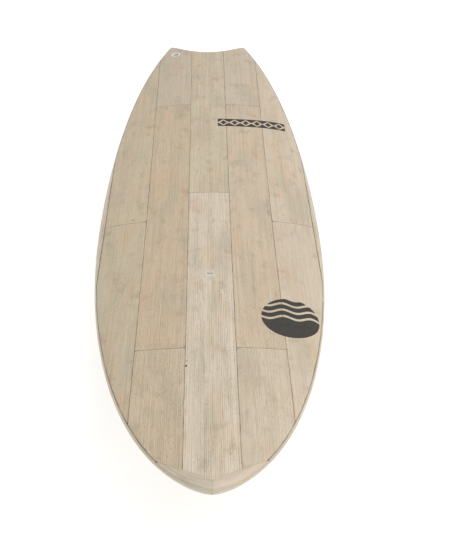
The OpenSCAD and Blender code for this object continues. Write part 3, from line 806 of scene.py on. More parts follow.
@dataclass(frozen=True)
class BoardShape:
    """The board's outline, foil and rocker, and the lines of its skins."""

    length: float = 1778.0
    width: float = 521.0
    wide_point: float = 820.0
    nose_pull: float = 44.0
    nose_fullness: float = 168.0
    nose_run: float = 392.0
    tail_run: float = 100.0
    tail_draw: float = 320.0
    tail_spread: float = 234.0
    tail_cut: float = 58.0
    tail_warp: float = 220.0
    thickness: float = 64.0
    nose_thickness: float = 18.0
    tail_thickness: float = 25.0
    thick_point: float = 853.0
    apex_share: float = 0.42
    nose_rocker: float = 95.0
    tail_rocker: float = 42.0
    flat_middle: float = 950.0
    flat_spot: float = 240.0
    nose_foil_power: float = 3.0
    tail_foil_power: float = 2.6
    nose_rocker_power: float = 2.0
    tail_rocker_power: float = 1.9
    tip_round: float = 22.0
    deck_power: float = 2.2
    bottom_power: float = 5.0
    bottom_flat: float = 0.4
    plank_t: float = 3.2
    plank_w: float = 98.4
    seam: float = 0.8
    cap_min: float = 5.0
    cap_seam: float = 0.9
    blunt: float = 1.0  # width of a plank's tip where it runs out
    nose_block: float = 20.0
    nose_block_corner: float = 75.0
    tail_block: float = 12.0

    JOINT_SEARCH = (1.0, 300.0)  # the nose block's joint lies between these t
    HALVINGS = 30  # of that stretch

    @cached_property
    def curves(self) -> tuple[Array, Array]:
        """The outline's nose curve and tail curve as rows of t and half width."""
        half = self.width / 2
        share = np.linspace(0, 1, 161)
        nose = [
            (0, 0),
            (self.nose_pull, self.nose_fullness),
            (self.wide_point - self.nose_run, half),
            (self.wide_point, half),
        ]
        tail = [
            (self.wide_point, half),
            (self.wide_point + self.tail_run, half),
            (self.length - self.tail_draw, half),
            (self.length, self.tail_spread / 2),
        ]
        return bezier(nose, share), bezier(tail, share)

    @property
    def lanes(self) -> tuple[float, float, float]:
        """Outer edges of the middle, inner and outer lanes, from the centreline."""
        return self.plank_w / 2, self.plank_w * 1.5, self.plank_w * 2.5

    @property
    def tail_line(self) -> float:
        """The t of the glue line in front of the tail block."""
        return self.length - self.tail_block

    def half_w(self, t: Array) -> Array:
        """Half width of the outline at t."""
        nose, tail = self.curves
        line = np.concatenate([nose, tail[1:]])
        return np.interp(t, line[:, 0], line[:, 1])

    def nose_t(self, width: Array) -> Array:
        """The t where the nose curve reaches a half width."""
        nose = self.curves[0]
        return np.interp(width, nose[:, 1], nose[:, 0])

    def tail_t(self, width: Array) -> Array:
        """The t where the tail curve comes in to a half width."""
        tail = self.curves[1][::-1]
        return np.interp(width, tail[:, 1], tail[:, 0])

    def skin_w(self, t: Array) -> Array:
        """Half width of the plank skins at t."""
        return np.minimum(self.lanes[2], self.half_w(t) - self.cap_min)

    def block_line(self, x: Array) -> Array:
        """The t of the glue line behind the nose block."""
        corner = float(self.half_w(np.array(self.nose_block_corner)))
        return self.nose_block + (self.nose_block_corner - self.nose_block) / corner * np.abs(x)

    def leave_block(self, line: Callable[[Array], Array], count: tuple[int, ...]) -> Array:
        """The t where lines that run along the board leave the nose block, found by halving.

        Args:
            line: gives the x of every line at its own t.
            count: the lines' array shape.

        Returns:
            The t of each line's crossing.
        """
        low, high = np.full(count, self.JOINT_SEARCH[0]), np.full(count, self.JOINT_SEARCH[1])
        for _ in range(self.HALVINGS):
            middle = (low + high) / 2
            ahead = self.block_line(line(middle)) > middle
            low, high = np.where(ahead, middle, low), np.where(ahead, high, middle)
        return low

    def thick(self, t: Array) -> Array:
        """Thickness of the board on the centreline."""
        ahead = np.clip(1 - t / self.thick_point, 0, None)
        behind = np.clip((t - self.thick_point) / (self.length - self.thick_point), 0, None)
        return (
            self.thickness
            - (self.thickness - self.nose_thickness) * ahead**self.nose_foil_power
            - (self.thickness - self.tail_thickness) * behind**self.tail_foil_power
        )

    def apex(self, t: Array) -> Array:
        """Height of the rail's outermost line."""
        start = self.flat_middle - self.flat_spot / 2
        end = self.flat_middle + self.flat_spot / 2
        rise = self.nose_rocker * np.clip(1 - t / start, 0, None) ** self.nose_rocker_power
        behind = np.clip((t - end) / (self.length - end), 0, None)
        kick = self.tail_rocker * behind**self.tail_rocker_power
        return rise + kick + self.apex_share * self.thick(t)

    def height(self, face: Face, x: Array, t: Array) -> Array:
        """Height of a face of the board.

        Args:
            face: deck or bottom.
            x: places across the board.
            t: distances from the nose tip.

        Returns:
            The heights z.
        """
        fade = np.sqrt(1 - np.clip(1 - t / self.tip_round, 0, 1) ** 2)
        across = np.minimum(1, np.abs(x) / np.maximum(0.01, self.half_w(t)))
        if face is Face.DECK:
            crown = np.sqrt(1 - across**self.deck_power)
            return self.apex(t) + (1 - self.apex_share) * self.thick(t) * fade * crown
        tuck = np.clip((across - self.bottom_flat) / (1 - self.bottom_flat), 0, None)
        belly = np.sqrt(1 - tuck**self.bottom_power)
        return self.apex(t) - self.apex_share * self.thick(t) * fade * belly

    def bend(self, x: Array, t: Array) -> Array:
        """How far the tail's crescent bends a cross line forward."""
        reach = np.clip((t - self.length + self.tail_warp) / self.tail_warp, 0, None)
        return self.tail_cut * np.clip(1 - (x / (self.tail_spread / 2)) ** 2, 0, None) * reach

    def plan_t(self, x: Array, along: Array) -> Array:
        """The t in plan of points at a distance along the board, the tail's bend taken out."""
        bow = self.tail_cut * np.clip(1 - (x / (self.tail_spread / 2)) ** 2, 0, None) / self.tail_warp
        start = self.length - self.tail_warp
        return np.where(along > start, start + (along - start) / (1 - bow), along)

    def grid(self, face: Face, x: Array, t: Array, depth: float | Array = 0.0) -> Array:
        """Points on a face, or below it.

        Args:
            face: deck or bottom.
            x: places across the board.
            t: plan distances from the nose, before the tail's bend.
            depth: distance into the board.

        Returns:
            The points, with x, y and z along the last axis.
        """
        along = t - self.bend(x, t)
        inward = -1 if face is Face.DECK else 1
        return np.stack([x, along - self.flat_middle, self.height(face, x, along) + inward * depth], -1)

    def normals(self, face: Face, points: Array) -> Array:
        """Outward unit normals of a face at points on it."""
        x, t = points[:, 0], points[:, 1] + self.flat_middle
        step = 0.5
        slope_x = (self.height(face, x + step, t) - self.height(face, x - step, t)) / (2 * step)
        slope_t = (self.height(face, x, t + step) - self.height(face, x, t - step)) / (2 * step)
        out = np.column_stack([-slope_x, -slope_t, np.ones_like(x)])
        if face is Face.BOTTOM:
            out = -out
        return out / np.linalg.norm(out, axis=1, keepdims=True)

    def fitting(self, face: Face, x: float, t: float, turn: float = 0.0, flip: bool = False) -> Matrix:
        """Placing of a fitting square to a face.

        Args:
            face: deck or bottom.
            x: place across the board.
            t: distance from the nose tip.
            turn: turn about the fitting's own z axis, in degrees.
            flip: mirror the fitting across the board.

        Returns:
            The placing, in millimetres.
        """
        step = 2.0
        near_x = np.array([x, x + step, x - step, x, x])
        near_t = np.array([t, t, t, t + step, t - step])
        here = self.height(face, near_x, near_t)
        slope_x = (here[1] - here[2]) / (2 * step)
        slope_t = (here[3] - here[4]) / (2 * step)
        return (
            Matrix.Translation((x, t - self.flat_middle, here[0]))
            @ Matrix.Rotation(-math.atan(slope_x), 4, "Y")
            @ Matrix.Rotation(math.atan(slope_t), 4, "X")
            @ Matrix.Rotation(math.radians(turn), 4, "Z")
            @ Matrix.Diagonal((-1 if flip else 1, 1, 1, 1))
        )


def through_slab(
    name: str,
    shape: BoardShape,
    x: Array,
    t: Array,
    drop: float | Array = 0.0,
) -> bpy.types.Object:
    """Makes a piece that goes through the board, from the deck to the bottom.

    Args:
        name: the piece's name.
        shape: the board.
        x: places across the board, as a grid.
        t: plan distances from the nose, as a grid.
        drop: how far both faces lie inside the board's own.

    Returns:
        The piece.
    """
    return slab(name, [(shape.grid(Face.DECK, x, t, drop), shape.grid(Face.BOTTOM, x, t, drop))])


def dress_wood(piece: bpy.types.Object, across: Array, along: Array, deep: Array, edge: Array) -> None:
    """Writes where the grain runs on a wooden piece.

    Args:
        piece: the piece.
        across: for each point, its place across the grain.
        along: for each point, its place along the grain.
        deep: for each point, its height in the wood.
        edge: for each point, its distance from the nearest glued edge.
    """
    mesh = piece.data
    grain = mesh.attributes.new("grain", "FLOAT_VECTOR", "POINT")
    grain.data.foreach_set("vector", np.column_stack([across, along, deep]).astype(np.float32).ravel())
    distance = mesh.attributes.new("edge", "FLOAT", "POINT")
    distance.data.foreach_set("value", edge.astype(np.float32))


def side_spacing(count: int) -> Array:
    """Shares from 0 to 1 that crowd towards the rail."""
    return np.sin(np.linspace(0, math.pi / 2, count + 1))


def end_spacing(count: int) -> Array:
    """Shares from 0 to 1 that crowd towards both ends."""
    return (1 - np.cos(np.linspace(0, math.pi, count + 1))) / 2


# ---- Skins ----


@dataclass(frozen=True)
class Plank:
    """One balsa plank: its lane, its ends and its wood."""

    name: str
    node: str
    side: Side
    lane: int
    start: float | None
    end: float | None
    finish: CoatedBalsa


@dataclass
class Skin:
    """The planks of one face, laid in five lanes with staggered butt joints."""

    shape: BoardShape
    face: Face
    mid_butts: tuple[float, ...]
    inner_butts: tuple[float, ...]
    outer_butts: tuple[float, ...]
    woods: dict[str, CoatedBalsa]
    openings: dict[str, list[tuple[Array, Matrix]]] = field(default_factory=dict)
    cell: float = 11.0
    cols: int = 12

    SLOTS = ("balsa_pale", "balsa_warm", "balsa_cool")
    LANES = ("mid", "inner", "outer")
    ENDS = {1: ("nose", "tail"), 2: ("nose", "mid", "tail")}
    OPENING_REACH = 30.0
    CAP_LAP = 0.5  # how far the outer planks stop short of the outer lane's edge
    FACING = 0.8  # cosine to the board's own normal above which a facet belongs to the outer face
    FEWEST_ROWS = 8

    def planks(self) -> list[Plank]:
        """Every plank of the face, from the middle lane outwards."""
        found = []
        butts = (self.mid_butts, self.inner_butts, self.outer_butts)
        for lane, lane_butts in enumerate(butts):
            sides = (Side.CENTRE,) if lane == 0 else (Side.LEFT, Side.RIGHT)
            limits = (None, *lane_butts, None)
            for side in sides:
                where = self.LANES[lane] + ("" if lane == 0 else f"_{side.name.lower()}")
                for start, end, part in zip(limits, limits[1:], self.ENDS[len(lane_butts)]):
                    name = f"{self.face.value}_balsa_{where}_{part}"
                    node = f"{self.face.value}_plank_{where}_{part}"
                    found.append(Plank(name, node, side, lane, start, end, self.woods[f"{where}_{part}"]))
        return found

    def span(self, lane: int) -> tuple[float, float]:
        """Inner and outer edge of a lane's planks."""
        gap = self.shape.seam / 2
        edges = (0.0, *self.shape.lanes)
        inner = 0.0 if lane == 0 else edges[lane] + gap
        outer = edges[lane + 1] - (gap if lane < 2 else self.CAP_LAP)
        return inner, outer

    def line_x(self, lane: int, share: Array, t: Array) -> Array:
        """The x of lines that share out a lane, which narrows with the outline."""
        inner, outer = self.span(lane)
        edge = np.minimum(outer, self.shape.half_w(t) - self.shape.cap_min)
        return inner + share * (np.maximum(inner + self.shape.blunt, edge) - inner)

    def plan(self, plank: Plank) -> tuple[Array, Array]:
        """The plan grid of a plank.

        Args:
            plank: the plank.

        Returns:
            x and t of each grid point, rows along the board.
        """
        shape, gap = self.shape, self.shape.seam / 2
        inner = self.span(plank.lane)[0]
        share = side_spacing(self.cols)
        if plank.lane == 0:
            share = np.concatenate([-share[:0:-1], share])
        reach = inner + shape.cap_min + shape.blunt
        if plank.start is None:
            joint = shape.leave_block(lambda t: self.line_x(plank.lane, share, t), share.shape)
            start = np.maximum(joint + gap, shape.nose_t(reach))
        else:
            start = np.full(share.shape, plank.start + gap)
        if plank.end is None:
            end = np.full(share.shape, min(shape.tail_line - gap, float(shape.tail_t(reach))))
        else:
            end = np.full(share.shape, plank.end - gap)
        rows = max(self.FEWEST_ROWS, round(float((end - start).max()) / self.cell))
        t = start + (end - start) * end_spacing(rows)[:, None]
        x = self.line_x(plank.lane, share, t)
        if plank.side is Side.RIGHT:
            return -x[:, ::-1], t[:, ::-1]
        return x, t

    def edge_distance(self, plank: Plank, points: Array) -> Array:
        """Distance of each point from the plank's nearest stained edge."""
        shape, gap = self.shape, self.shape.seam / 2
        x = np.abs(points[:, 0])
        t = shape.plan_t(x, points[:, 1] + shape.flat_middle)
        inner, outer = self.span(plank.lane)
        distance = np.minimum(outer, shape.half_w(t) - shape.cap_min) - x
        if plank.lane > 0:
            distance = np.minimum(distance, x - inner)
        # The close joints with the nose and tail blocks leave no stain
        start = -math.inf if plank.start is None else plank.start
        end = math.inf if plank.end is None else plank.end
        return np.clip(np.minimum(distance, np.minimum(t - start, end - t) - gap), 0, None)

    def shade(self, piece: bpy.types.Object) -> None:
        """Gives the outer face the board's own normals, so that openings leave no marks."""
        mesh = piece.data
        points = point_array(mesh)
        count = len(mesh.loops)
        owner = np.empty(count, int)
        mesh.loops.foreach_get("vertex_index", owner)
        flat = np.empty(len(mesh.polygons) * 3)
        mesh.polygons.foreach_get("normal", flat)
        sizes = np.empty(len(mesh.polygons), int)
        mesh.polygons.foreach_get("loop_total", sizes)
        facing = np.repeat(flat.reshape(-1, 3), sizes, 0)
        ideal = self.shape.normals(self.face, points)[owner]
        outer = (facing * ideal).sum(1) > self.FACING
        mesh.polygons.foreach_set("use_smooth", np.ones(len(mesh.polygons), bool))
        mesh.normals_split_custom_set(np.where(outer[:, None], ideal, facing).tolist())

    def build(self) -> None:
        """Builds every plank of the face."""
        for plank in self.planks():
            x, t = self.plan(plank)
            top = self.shape.grid(self.face, x, t)
            under = self.shape.grid(self.face, x, t, self.shape.plank_t)
            piece = slab(plank.name, [(top, under)])
            cutters = [
                prism("cutter", outline, -self.OPENING_REACH, self.OPENING_REACH, place)
                for outline, place in self.openings.get(plank.node, [])
            ]
            if cutters:
                cut_out(piece, cutters)
            self.shade(piece)
            points = point_array(piece.data)
            level = self.shape.height(self.face, points[:, 0], points[:, 1] + self.shape.flat_middle)
            edge = self.edge_distance(plank, points)
            dress_wood(piece, points[:, 0], points[:, 1], points[:, 2] - level, edge)
            hand_over(piece, plank.finish, "board", (plank.node,))


@dataclass
class GlueLines:
    """The dark glue that fills the seams of one face, just below the surface."""

    skin: Skin
    finish: Finish
    sink: float = 0.12
    cell: float = 14.0
    run_out: float = 4.0  # how far a seam's glue runs on past the outer plank's tip

    BUTT_POINTS = 12
    CAP_POINTS = 130

    def strip(self, middle_x: Array, middle_t: Array, wide_x: float, wide_t: float) -> tuple[Array, Array]:
        """One closed strip of glue along a line in plan.

        Args:
            middle_x: x of the line's points.
            middle_t: t of the line's points.
            wide_x: half the strip's width across the board.
            wide_t: half the strip's width along the board.

        Returns:
            The strip's top and under grid.
        """
        x = np.stack([middle_x - wide_x, middle_x, middle_x + wide_x], 1)
        t = np.stack([middle_t - wide_t, middle_t, middle_t + wide_t], 1)
        shape, face = self.skin.shape, self.skin.face
        return shape.grid(face, x, t, self.sink), shape.grid(face, x, t, shape.plank_t)

    def build(self) -> None:
        """Builds the face's glue lines as one piece."""
        skin, shape = self.skin, self.skin.shape
        gap = shape.seam / 2
        strips = []
        for lane, side in ((0, 1), (0, -1), (1, 1), (1, -1)):
            x = shape.lanes[lane]
            reach = x + shape.cap_min + shape.blunt
            tip = float(shape.nose_t(np.array(reach))) - self.run_out
            start = max(tip, float(shape.block_line(np.array(x)))) + gap
            end = min(shape.tail_line - gap, float(shape.tail_t(np.array(reach))) + self.run_out)
            t = np.linspace(start, end, round((end - start) / self.cell))
            strips.append(self.strip(np.full(t.shape, side * x), t, gap, 0.0))
        butts = (skin.mid_butts, skin.inner_butts, skin.outer_butts)
        for lane, lane_butts in enumerate(butts):
            inner, outer = skin.span(lane)
            for butt in lane_butts:
                for side in (1, -1):
                    if lane == 0 and side < 0:
                        continue
                    low = -outer if lane == 0 else inner
                    edge = min(outer, float(shape.half_w(np.array(butt))) - shape.cap_min)
                    x = side * np.linspace(low, edge, self.BUTT_POINTS)
                    strips.append(self.strip(x, np.full(x.shape, butt), 0.0, gap))
        for side in (1, -1):
            t = np.linspace(shape.nose_block_corner, shape.tail_line - gap, self.CAP_POINTS)
            wide = shape.cap_seam / 2
            strips.append(self.strip(side * (shape.skin_w(t) + wide), t, side * wide, 0.0))
        piece = slab(f"{skin.face.value}_glue_lines", strips)
        hand_over(piece, self.finish, "board")


@dataclass
class BlockGlue:
    """The sheets of glue that hold the nose and tail blocks, from deck to bottom."""

    shape: BoardShape
    finish: Finish
    sink: float = 0.12

    MITRE_START = 0.25  # angle in the spacing of the mitre's rows, which start 0.6 mm behind the tip

    def sheet(self, x: Array, t: Array) -> tuple[Array, Array]:
        """The top and under grid of a sheet through the board's whole thickness."""
        return self.shape.grid(Face.DECK, x, t, self.sink), self.shape.grid(Face.BOTTOM, x, t, self.sink)

    def build(self) -> None:
        """Builds the four sheets as one piece."""
        shape, gap = self.shape, self.shape.seam / 2
        wide = np.array([-gap, 0.0, gap])
        sheets = []
        tail_half = float(shape.half_w(np.array(shape.tail_line))) - self.sink
        x = np.linspace(-tail_half, tail_half, 49)[:, None] + 0 * wide
        sheets.append(self.sheet(x, shape.tail_line + wide + 0 * x))
        reach = float(shape.half_w(np.array(shape.nose_block_corner))) - 2 * shape.cap_min
        for side in (1, -1):
            x = side * np.linspace(gap, reach, 33)[:, None] + 0 * wide
            sheets.append(self.sheet(x, shape.block_line(x) + wide))
        turn = np.linspace(self.MITRE_START, math.pi / 2, 17)
        t = shape.nose_block * (1 - np.cos(turn))[:, None] + 0 * wide
        sheets.append(self.sheet(wide + 0 * t, t))
        hand_over(slab("block_glue_lines", sheets), self.finish, "board")


# ---- Rails and blocks ----


@dataclass
class Rails:
    """The laminated balsa caps that wrap the board's edge outside the planks."""

    shape: BoardShape
    finish: CoatedBalsa
    rows: int = 150
    cols: int = 14

    def start_of(self, inset: float) -> float:
        """The t where a line inset from the outline leaves the nose block."""
        joint = self.shape.leave_block(lambda t: self.shape.half_w(t) - inset, ())
        return float(joint) + self.shape.seam

    def build(self) -> None:
        """Builds both rail caps."""
        shape = self.shape
        share = side_spacing(self.cols)
        inner_start = self.start_of(shape.cap_min - shape.cap_seam)
        start = inner_start + (self.start_of(0.0) - inner_start) * share
        t = start + (shape.tail_line - shape.seam / 2 - start) * end_spacing(self.rows)[:, None]
        inner = shape.skin_w(t) + shape.cap_seam
        x = inner + (shape.half_w(t) - inner) * share
        for side in (Side.LEFT, Side.RIGHT):
            name = side.name.lower()
            piece = through_slab(f"rail_laminate_{name}", shape, side.value * x, t)
            points = point_array(piece.data)
            at_x, at_t = np.abs(points[:, 0]), points[:, 1] + shape.flat_middle
            outside = shape.half_w(at_t) - at_x
            inside = np.clip(at_x - shape.skin_w(at_t) - shape.cap_seam, 0, None)
            dress_wood(piece, outside, points[:, 1], points[:, 2] - shape.apex(at_t), inside)
            hand_over(piece, self.finish, "board", (f"rail_cap_{name}",))


@dataclass
class NoseBlock:
    """The mitred, laminated block at the nose tip, left and right of the centreline."""

    shape: BoardShape
    finishes: dict[Side, CoatedBalsa]
    rows: int = 20
    cols: int = 48
    corner_gap: float = 4.0
    mitre_crowding: float = 1.3

    def build(self) -> None:
        """Builds both halves of the block."""
        shape, gap = self.shape, self.shape.seam / 2
        corner = float(shape.half_w(np.array(shape.nose_block_corner))) - self.corner_gap
        x = gap + (corner - gap) * np.linspace(0, 1, self.cols + 1) ** self.mitre_crowding
        front = shape.nose_t(x)
        back = shape.block_line(x) - gap
        share = 1 - np.cos(np.linspace(0, math.pi / 2, self.rows + 1))[:, None]
        t = front + (back - front) * share
        x = np.broadcast_to(x, t.shape)
        for side in (Side.LEFT, Side.RIGHT):
            name = side.name.lower()
            piece = through_slab(f"nose_laminate_{name}", shape, side.value * x, t)
            points = point_array(piece.data)
            at_x, at_t = np.abs(points[:, 0]), points[:, 1] + shape.flat_middle
            behind = at_t - shape.nose_t(at_x)
            unstained = np.full(len(points), UNSTAINED)
            dress_wood(piece, behind, at_x * side.value, points[:, 2] - shape.apex(at_t), unstained)
            hand_over(piece, self.finishes[side], "board", (f"nose_block_{name}",))


@dataclass
class TailBlock:
    """The strip that closes the crescent of the tail, with its aft edges eased."""

    shape: BoardShape
    finish: CoatedBalsa
    ease: float = 4.0
    flat_rows: int = 3
    ease_rows: int = 8
    cols: int = 40

    def build(self) -> None:
        """Builds the tail block."""
        shape = self.shape
        start = shape.tail_line + shape.seam / 2
        flat = np.linspace(start, shape.length - self.ease, self.flat_rows + 1)[:-1]
        turned = shape.length - self.ease + self.ease * np.sin(np.linspace(0, math.pi / 2, self.ease_rows))
        share = side_spacing(self.cols)
        share = np.concatenate([-share[:0:-1], share])
        t = np.repeat(np.concatenate([flat, turned])[:, None], len(share), 1)
        x = share * shape.half_w(t)
        past = np.clip(t - (shape.length - self.ease), 0, self.ease)
        drop = self.ease - np.sqrt(self.ease**2 - past**2)
        room = shape.height(Face.DECK, x, t) - shape.height(Face.BOTTOM, x, t)
        drop = np.minimum(drop, room / 2 * past / self.ease)
        piece = through_slab("tail_laminate", shape, x, t, drop)
        points = point_array(piece.data)
        along = points[:, 1] + shape.flat_middle
        behind = shape.plan_t(points[:, 0], along) - start
        unstained = np.full(len(points), UNSTAINED)
        dress_wood(piece, behind, points[:, 0], points[:, 2] - shape.apex(along), unstained)
        hand_over(piece, self.finish, "board", ("tail_block",))


# ---- Marks ----


@dataclass
class DeckMarks:
    """The deck's marks: a round sun over waves, a long patterned bar, and the wood's pin knots."""

    shape: BoardShape
    ink: Finish
    knot: Finish
    emblem_x: float = 163.0
    emblem_t: float = 458.0
    emblem_half: tuple[float, float] = (60.0, 63.0)
    wave_height: float = 5.0
    wave_length: float = 58.0
    wave_band: float = 14.0
    wave_gap: float = 7.0
    bar_x: float = 119.0
    bar_t: float = 1277.0
    bar_size: tuple[float, float] = (186.0, 40.0)
    bar_cells: int = 6
    bar_line: float = 3.5
    film: float = 0.06
    rows: int = 12
    knots: tuple[tuple[float, float, float], ...] = (
        (-47.2, 304.0, 1.9),
        (-45.4, 319.0, 1.1),
        (-181.0, 824.0, 1.2),
        (-179.0, 829.0, 1.0),
    )  # x, t and radius of each

    LEAST_HEIGHT = 0.4  # a band of the emblem is drawn where it is higher than this
    LEAST_POINTS = 3  # and where more points than this lie in it
    INNER_MARGIN = 2.6  # bar lines between an inner lozenge's tip and the bar's edge
    BLUNT_TIP = 0.2  # half the height of an inner lozenge's tip
    KNOT_STRETCH = 1.4  # a knot's length over its width
    BLUNT_KNOT = 0.1  # keeps a knot's tips from closing to a point

    def patch(self, x: Array, low: Array, high: Array, centre: tuple[float, float]) -> tuple[Array, Array]:
        """The film between two curves.

        Args:
            x: places across the board from the mark's centre.
            low: lower curve at each x, towards the tail.
            high: upper curve at each x, towards the nose.
            centre: x and t of the mark's centre.

        Returns:
            The top and under grid of the film.
        """
        share = np.linspace(0, 1, self.rows + 1)[:, None]
        up = low + (high - low) * share
        across = np.broadcast_to(x, up.shape) + centre[0]
        t = centre[1] - up
        top, under = (self.shape.grid(Face.DECK, across, t, depth) for depth in (-self.film, self.film))
        return top, under

    def emblem(self) -> None:
        """Builds the sun over waves."""
        wide, tall = self.emblem_half
        centre = (self.emblem_x, self.emblem_t)
        x = wide * np.sin(np.linspace(-math.pi / 2, math.pi / 2, 97))
        rim = tall * np.sqrt(np.clip(1 - (x / wide) ** 2, 0, None))
        wave = self.wave_height * np.sin(math.tau * x / self.wave_length)
        parts = [(wave + self.wave_gap / 2, rim)]
        high = wave - self.wave_gap / 2
        while high.max() > -tall:
            parts.append((np.maximum(high - self.wave_band, -rim), np.minimum(high, rim)))
            high = high - self.wave_band - self.wave_gap
        layers = []
        for low, top in parts:
            shown = top - low > self.LEAST_HEIGHT
            if shown.sum() > self.LEAST_POINTS:
                layers.append(self.patch(x[shown], low[shown], top[shown], centre))
        hand_over(slab("deck_emblem", layers), self.ink, "board")

    def bar(self) -> None:
        """Builds the bar, with a row of open lozenges around small dark ones."""
        wide, tall = self.bar_size
        centre = (self.bar_x, self.bar_t)
        pitch = wide / self.bar_cells
        x = np.linspace(-wide / 2, wide / 2, self.bar_cells * 16 + 1)
        inside = np.abs((x + wide / 2) % pitch - pitch / 2) / (pitch / 2)
        open_half = (tall / 2 - self.bar_line) * (1 - inside)
        half = np.full(x.shape, tall / 2)
        gap = self.bar_line / 2
        layers = [
            self.patch(x, open_half + gap * inside, half, centre),
            self.patch(x, -half, -open_half - gap * inside, centre),
        ]
        inner = pitch / 2 - 2 * self.bar_line
        for cell in range(self.bar_cells):
            local = np.linspace(-inner, inner, 13)
            reach = (tall / 2 - self.INNER_MARGIN * self.bar_line) * (1 - np.abs(local) / inner)
            reach = reach + self.BLUNT_TIP
            middle = -wide / 2 + pitch * (cell + 0.5)
            layers.append(self.patch(local + middle, -reach, reach, centre))
        hand_over(slab("deck_bar", layers), self.ink, "board")

    def pin_knots(self) -> None:
        """Builds the pin knots, small dark ovals along the grain."""
        layers = []
        for x, t, radius in self.knots:
            across = radius * np.sin(np.linspace(-math.pi / 2, math.pi / 2, 13))
            reach = self.KNOT_STRETCH * np.sqrt(np.clip(radius**2 - across**2, self.BLUNT_KNOT**2, None))
            layers.append(self.patch(across, -reach, reach, (x, t)))
        hand_over(slab("deck_pin_knots", layers), self.knot, "board")

    def build(self) -> None:
        """Builds both marks and the knots."""
        self.emblem()
        self.bar()
        self.pin_knots()


# ---- Fittings ----


def circle(radius: float, count: int = 64) -> Array:
    """Points of a circle around the local axis."""
    turn = np.arange(count) * math.tau / count
    return radius * np.column_stack([np.cos(turn), np.sin(turn)])


def stadium(front: float, back: float, radius: float, count: int = 24) -> Array:
    """Outline of a bar along y with round ends centred on front and back."""
    turn = np.linspace(0, math.pi, count + 1)
    ahead = np.column_stack([-np.cos(turn), -np.sin(turn)]) * radius + (0, front)
    behind = np.column_stack([np.cos(turn), np.sin(turn)]) * radius + (0, back)
    return np.concatenate([ahead, behind])


@dataclass
class Vent:
    """The vent on the centreline: a flanged ring and a slotted, threaded screw."""

    shape: BoardShape
    ring_finish: Finish
    screw_finish: Finish
    t: float = 605.0
    flange_r: float = 11.0
    flange_t: float = 2.4
    barrel_r: float = 9.0
    depth: float = 18.0
    head_r: float = 7.0
    head_t: float = 2.6
    head_top: float = -0.4
    seat: float = -4.6
    recess_r: float = 7.2
    bore_r: float = 4.06
    shank_r: float = 4.0
    shank_end: float = -12.0
    pitch: float = 1.5
    thread_depth: float = 0.55
    floor: float = 2.0
    hole_r: float = 1.5
    slot: tuple[float, float] = (1.6, 1.4)
    pocket_fit: float = 0.2
    rounding: float = 0.5

    AROUND = 72
    THREAD_ROWS = 72
    THREAD_START = 0.5  # plain shank under the screw's head

    @property
    def place(self) -> Matrix:
        """Placing of the vent on the deck."""
        return self.shape.fitting(Face.DECK, 0.0, self.t)

    def opening(self) -> tuple[Array, Matrix]:
        """The pocket that the planks leave for the flange."""
        return circle(self.flange_r + self.pocket_fit), self.place

    def build(self) -> None:
        """Builds the ring and the screw."""
        profile = [
            (self.hole_r, -self.depth),
            (self.barrel_r, -self.depth),
            (self.barrel_r, -self.flange_t),
            (self.flange_r, -self.flange_t),
            (self.flange_r, 0),
            (self.recess_r, 0),
            (self.recess_r, self.seat),
            (self.bore_r, self.seat),
            (self.bore_r, self.floor - self.depth),
            (self.hole_r, self.floor - self.depth),
        ]
        ring = lathe("vent_ring_moulding", np.array(profile, float), self.place)
        round_edges(ring, self.rounding)
        hand_over(ring, self.ring_finish, "board", ("vent_body",))

        under = self.head_top - self.head_t
        shank = np.linspace(under, self.shank_end, self.THREAD_ROWS)
        heights = np.concatenate([[self.head_top, self.head_top, under], shank, [self.shank_end]])
        shank_radii = np.full(len(shank), self.shank_r)
        radii = np.concatenate([[AXIS_R, self.head_r, self.head_r], shank_radii, [AXIS_R]])
        turn = np.arange(self.AROUND) / self.AROUND
        phase = heights[:, None] / self.pitch - turn
        groove = np.abs(phase % 1 - 0.5) * 2
        on_shank = (radii == self.shank_r) & (heights < under - self.THREAD_START)
        cut = np.where(on_shank[:, None], self.thread_depth * groove, 0)
        profile = np.column_stack([radii, heights])
        screw = lathe("vent_screw_moulding", profile, self.place, self.AROUND, cut)
        wide, deep = self.slot
        reach = 2 * self.head_r
        box = np.array([(-reach, -wide / 2), (reach, -wide / 2), (reach, wide / 2), (-reach, wide / 2)])
        cut_out(screw, [prism("cutter", box, self.head_top - deep, reach, self.place)])
        screw.data.set_sharp_from_angle(angle=math.radians(CREASE))
        hand_over(screw, self.screw_finish, "vent_screw", ("vent_screw",))


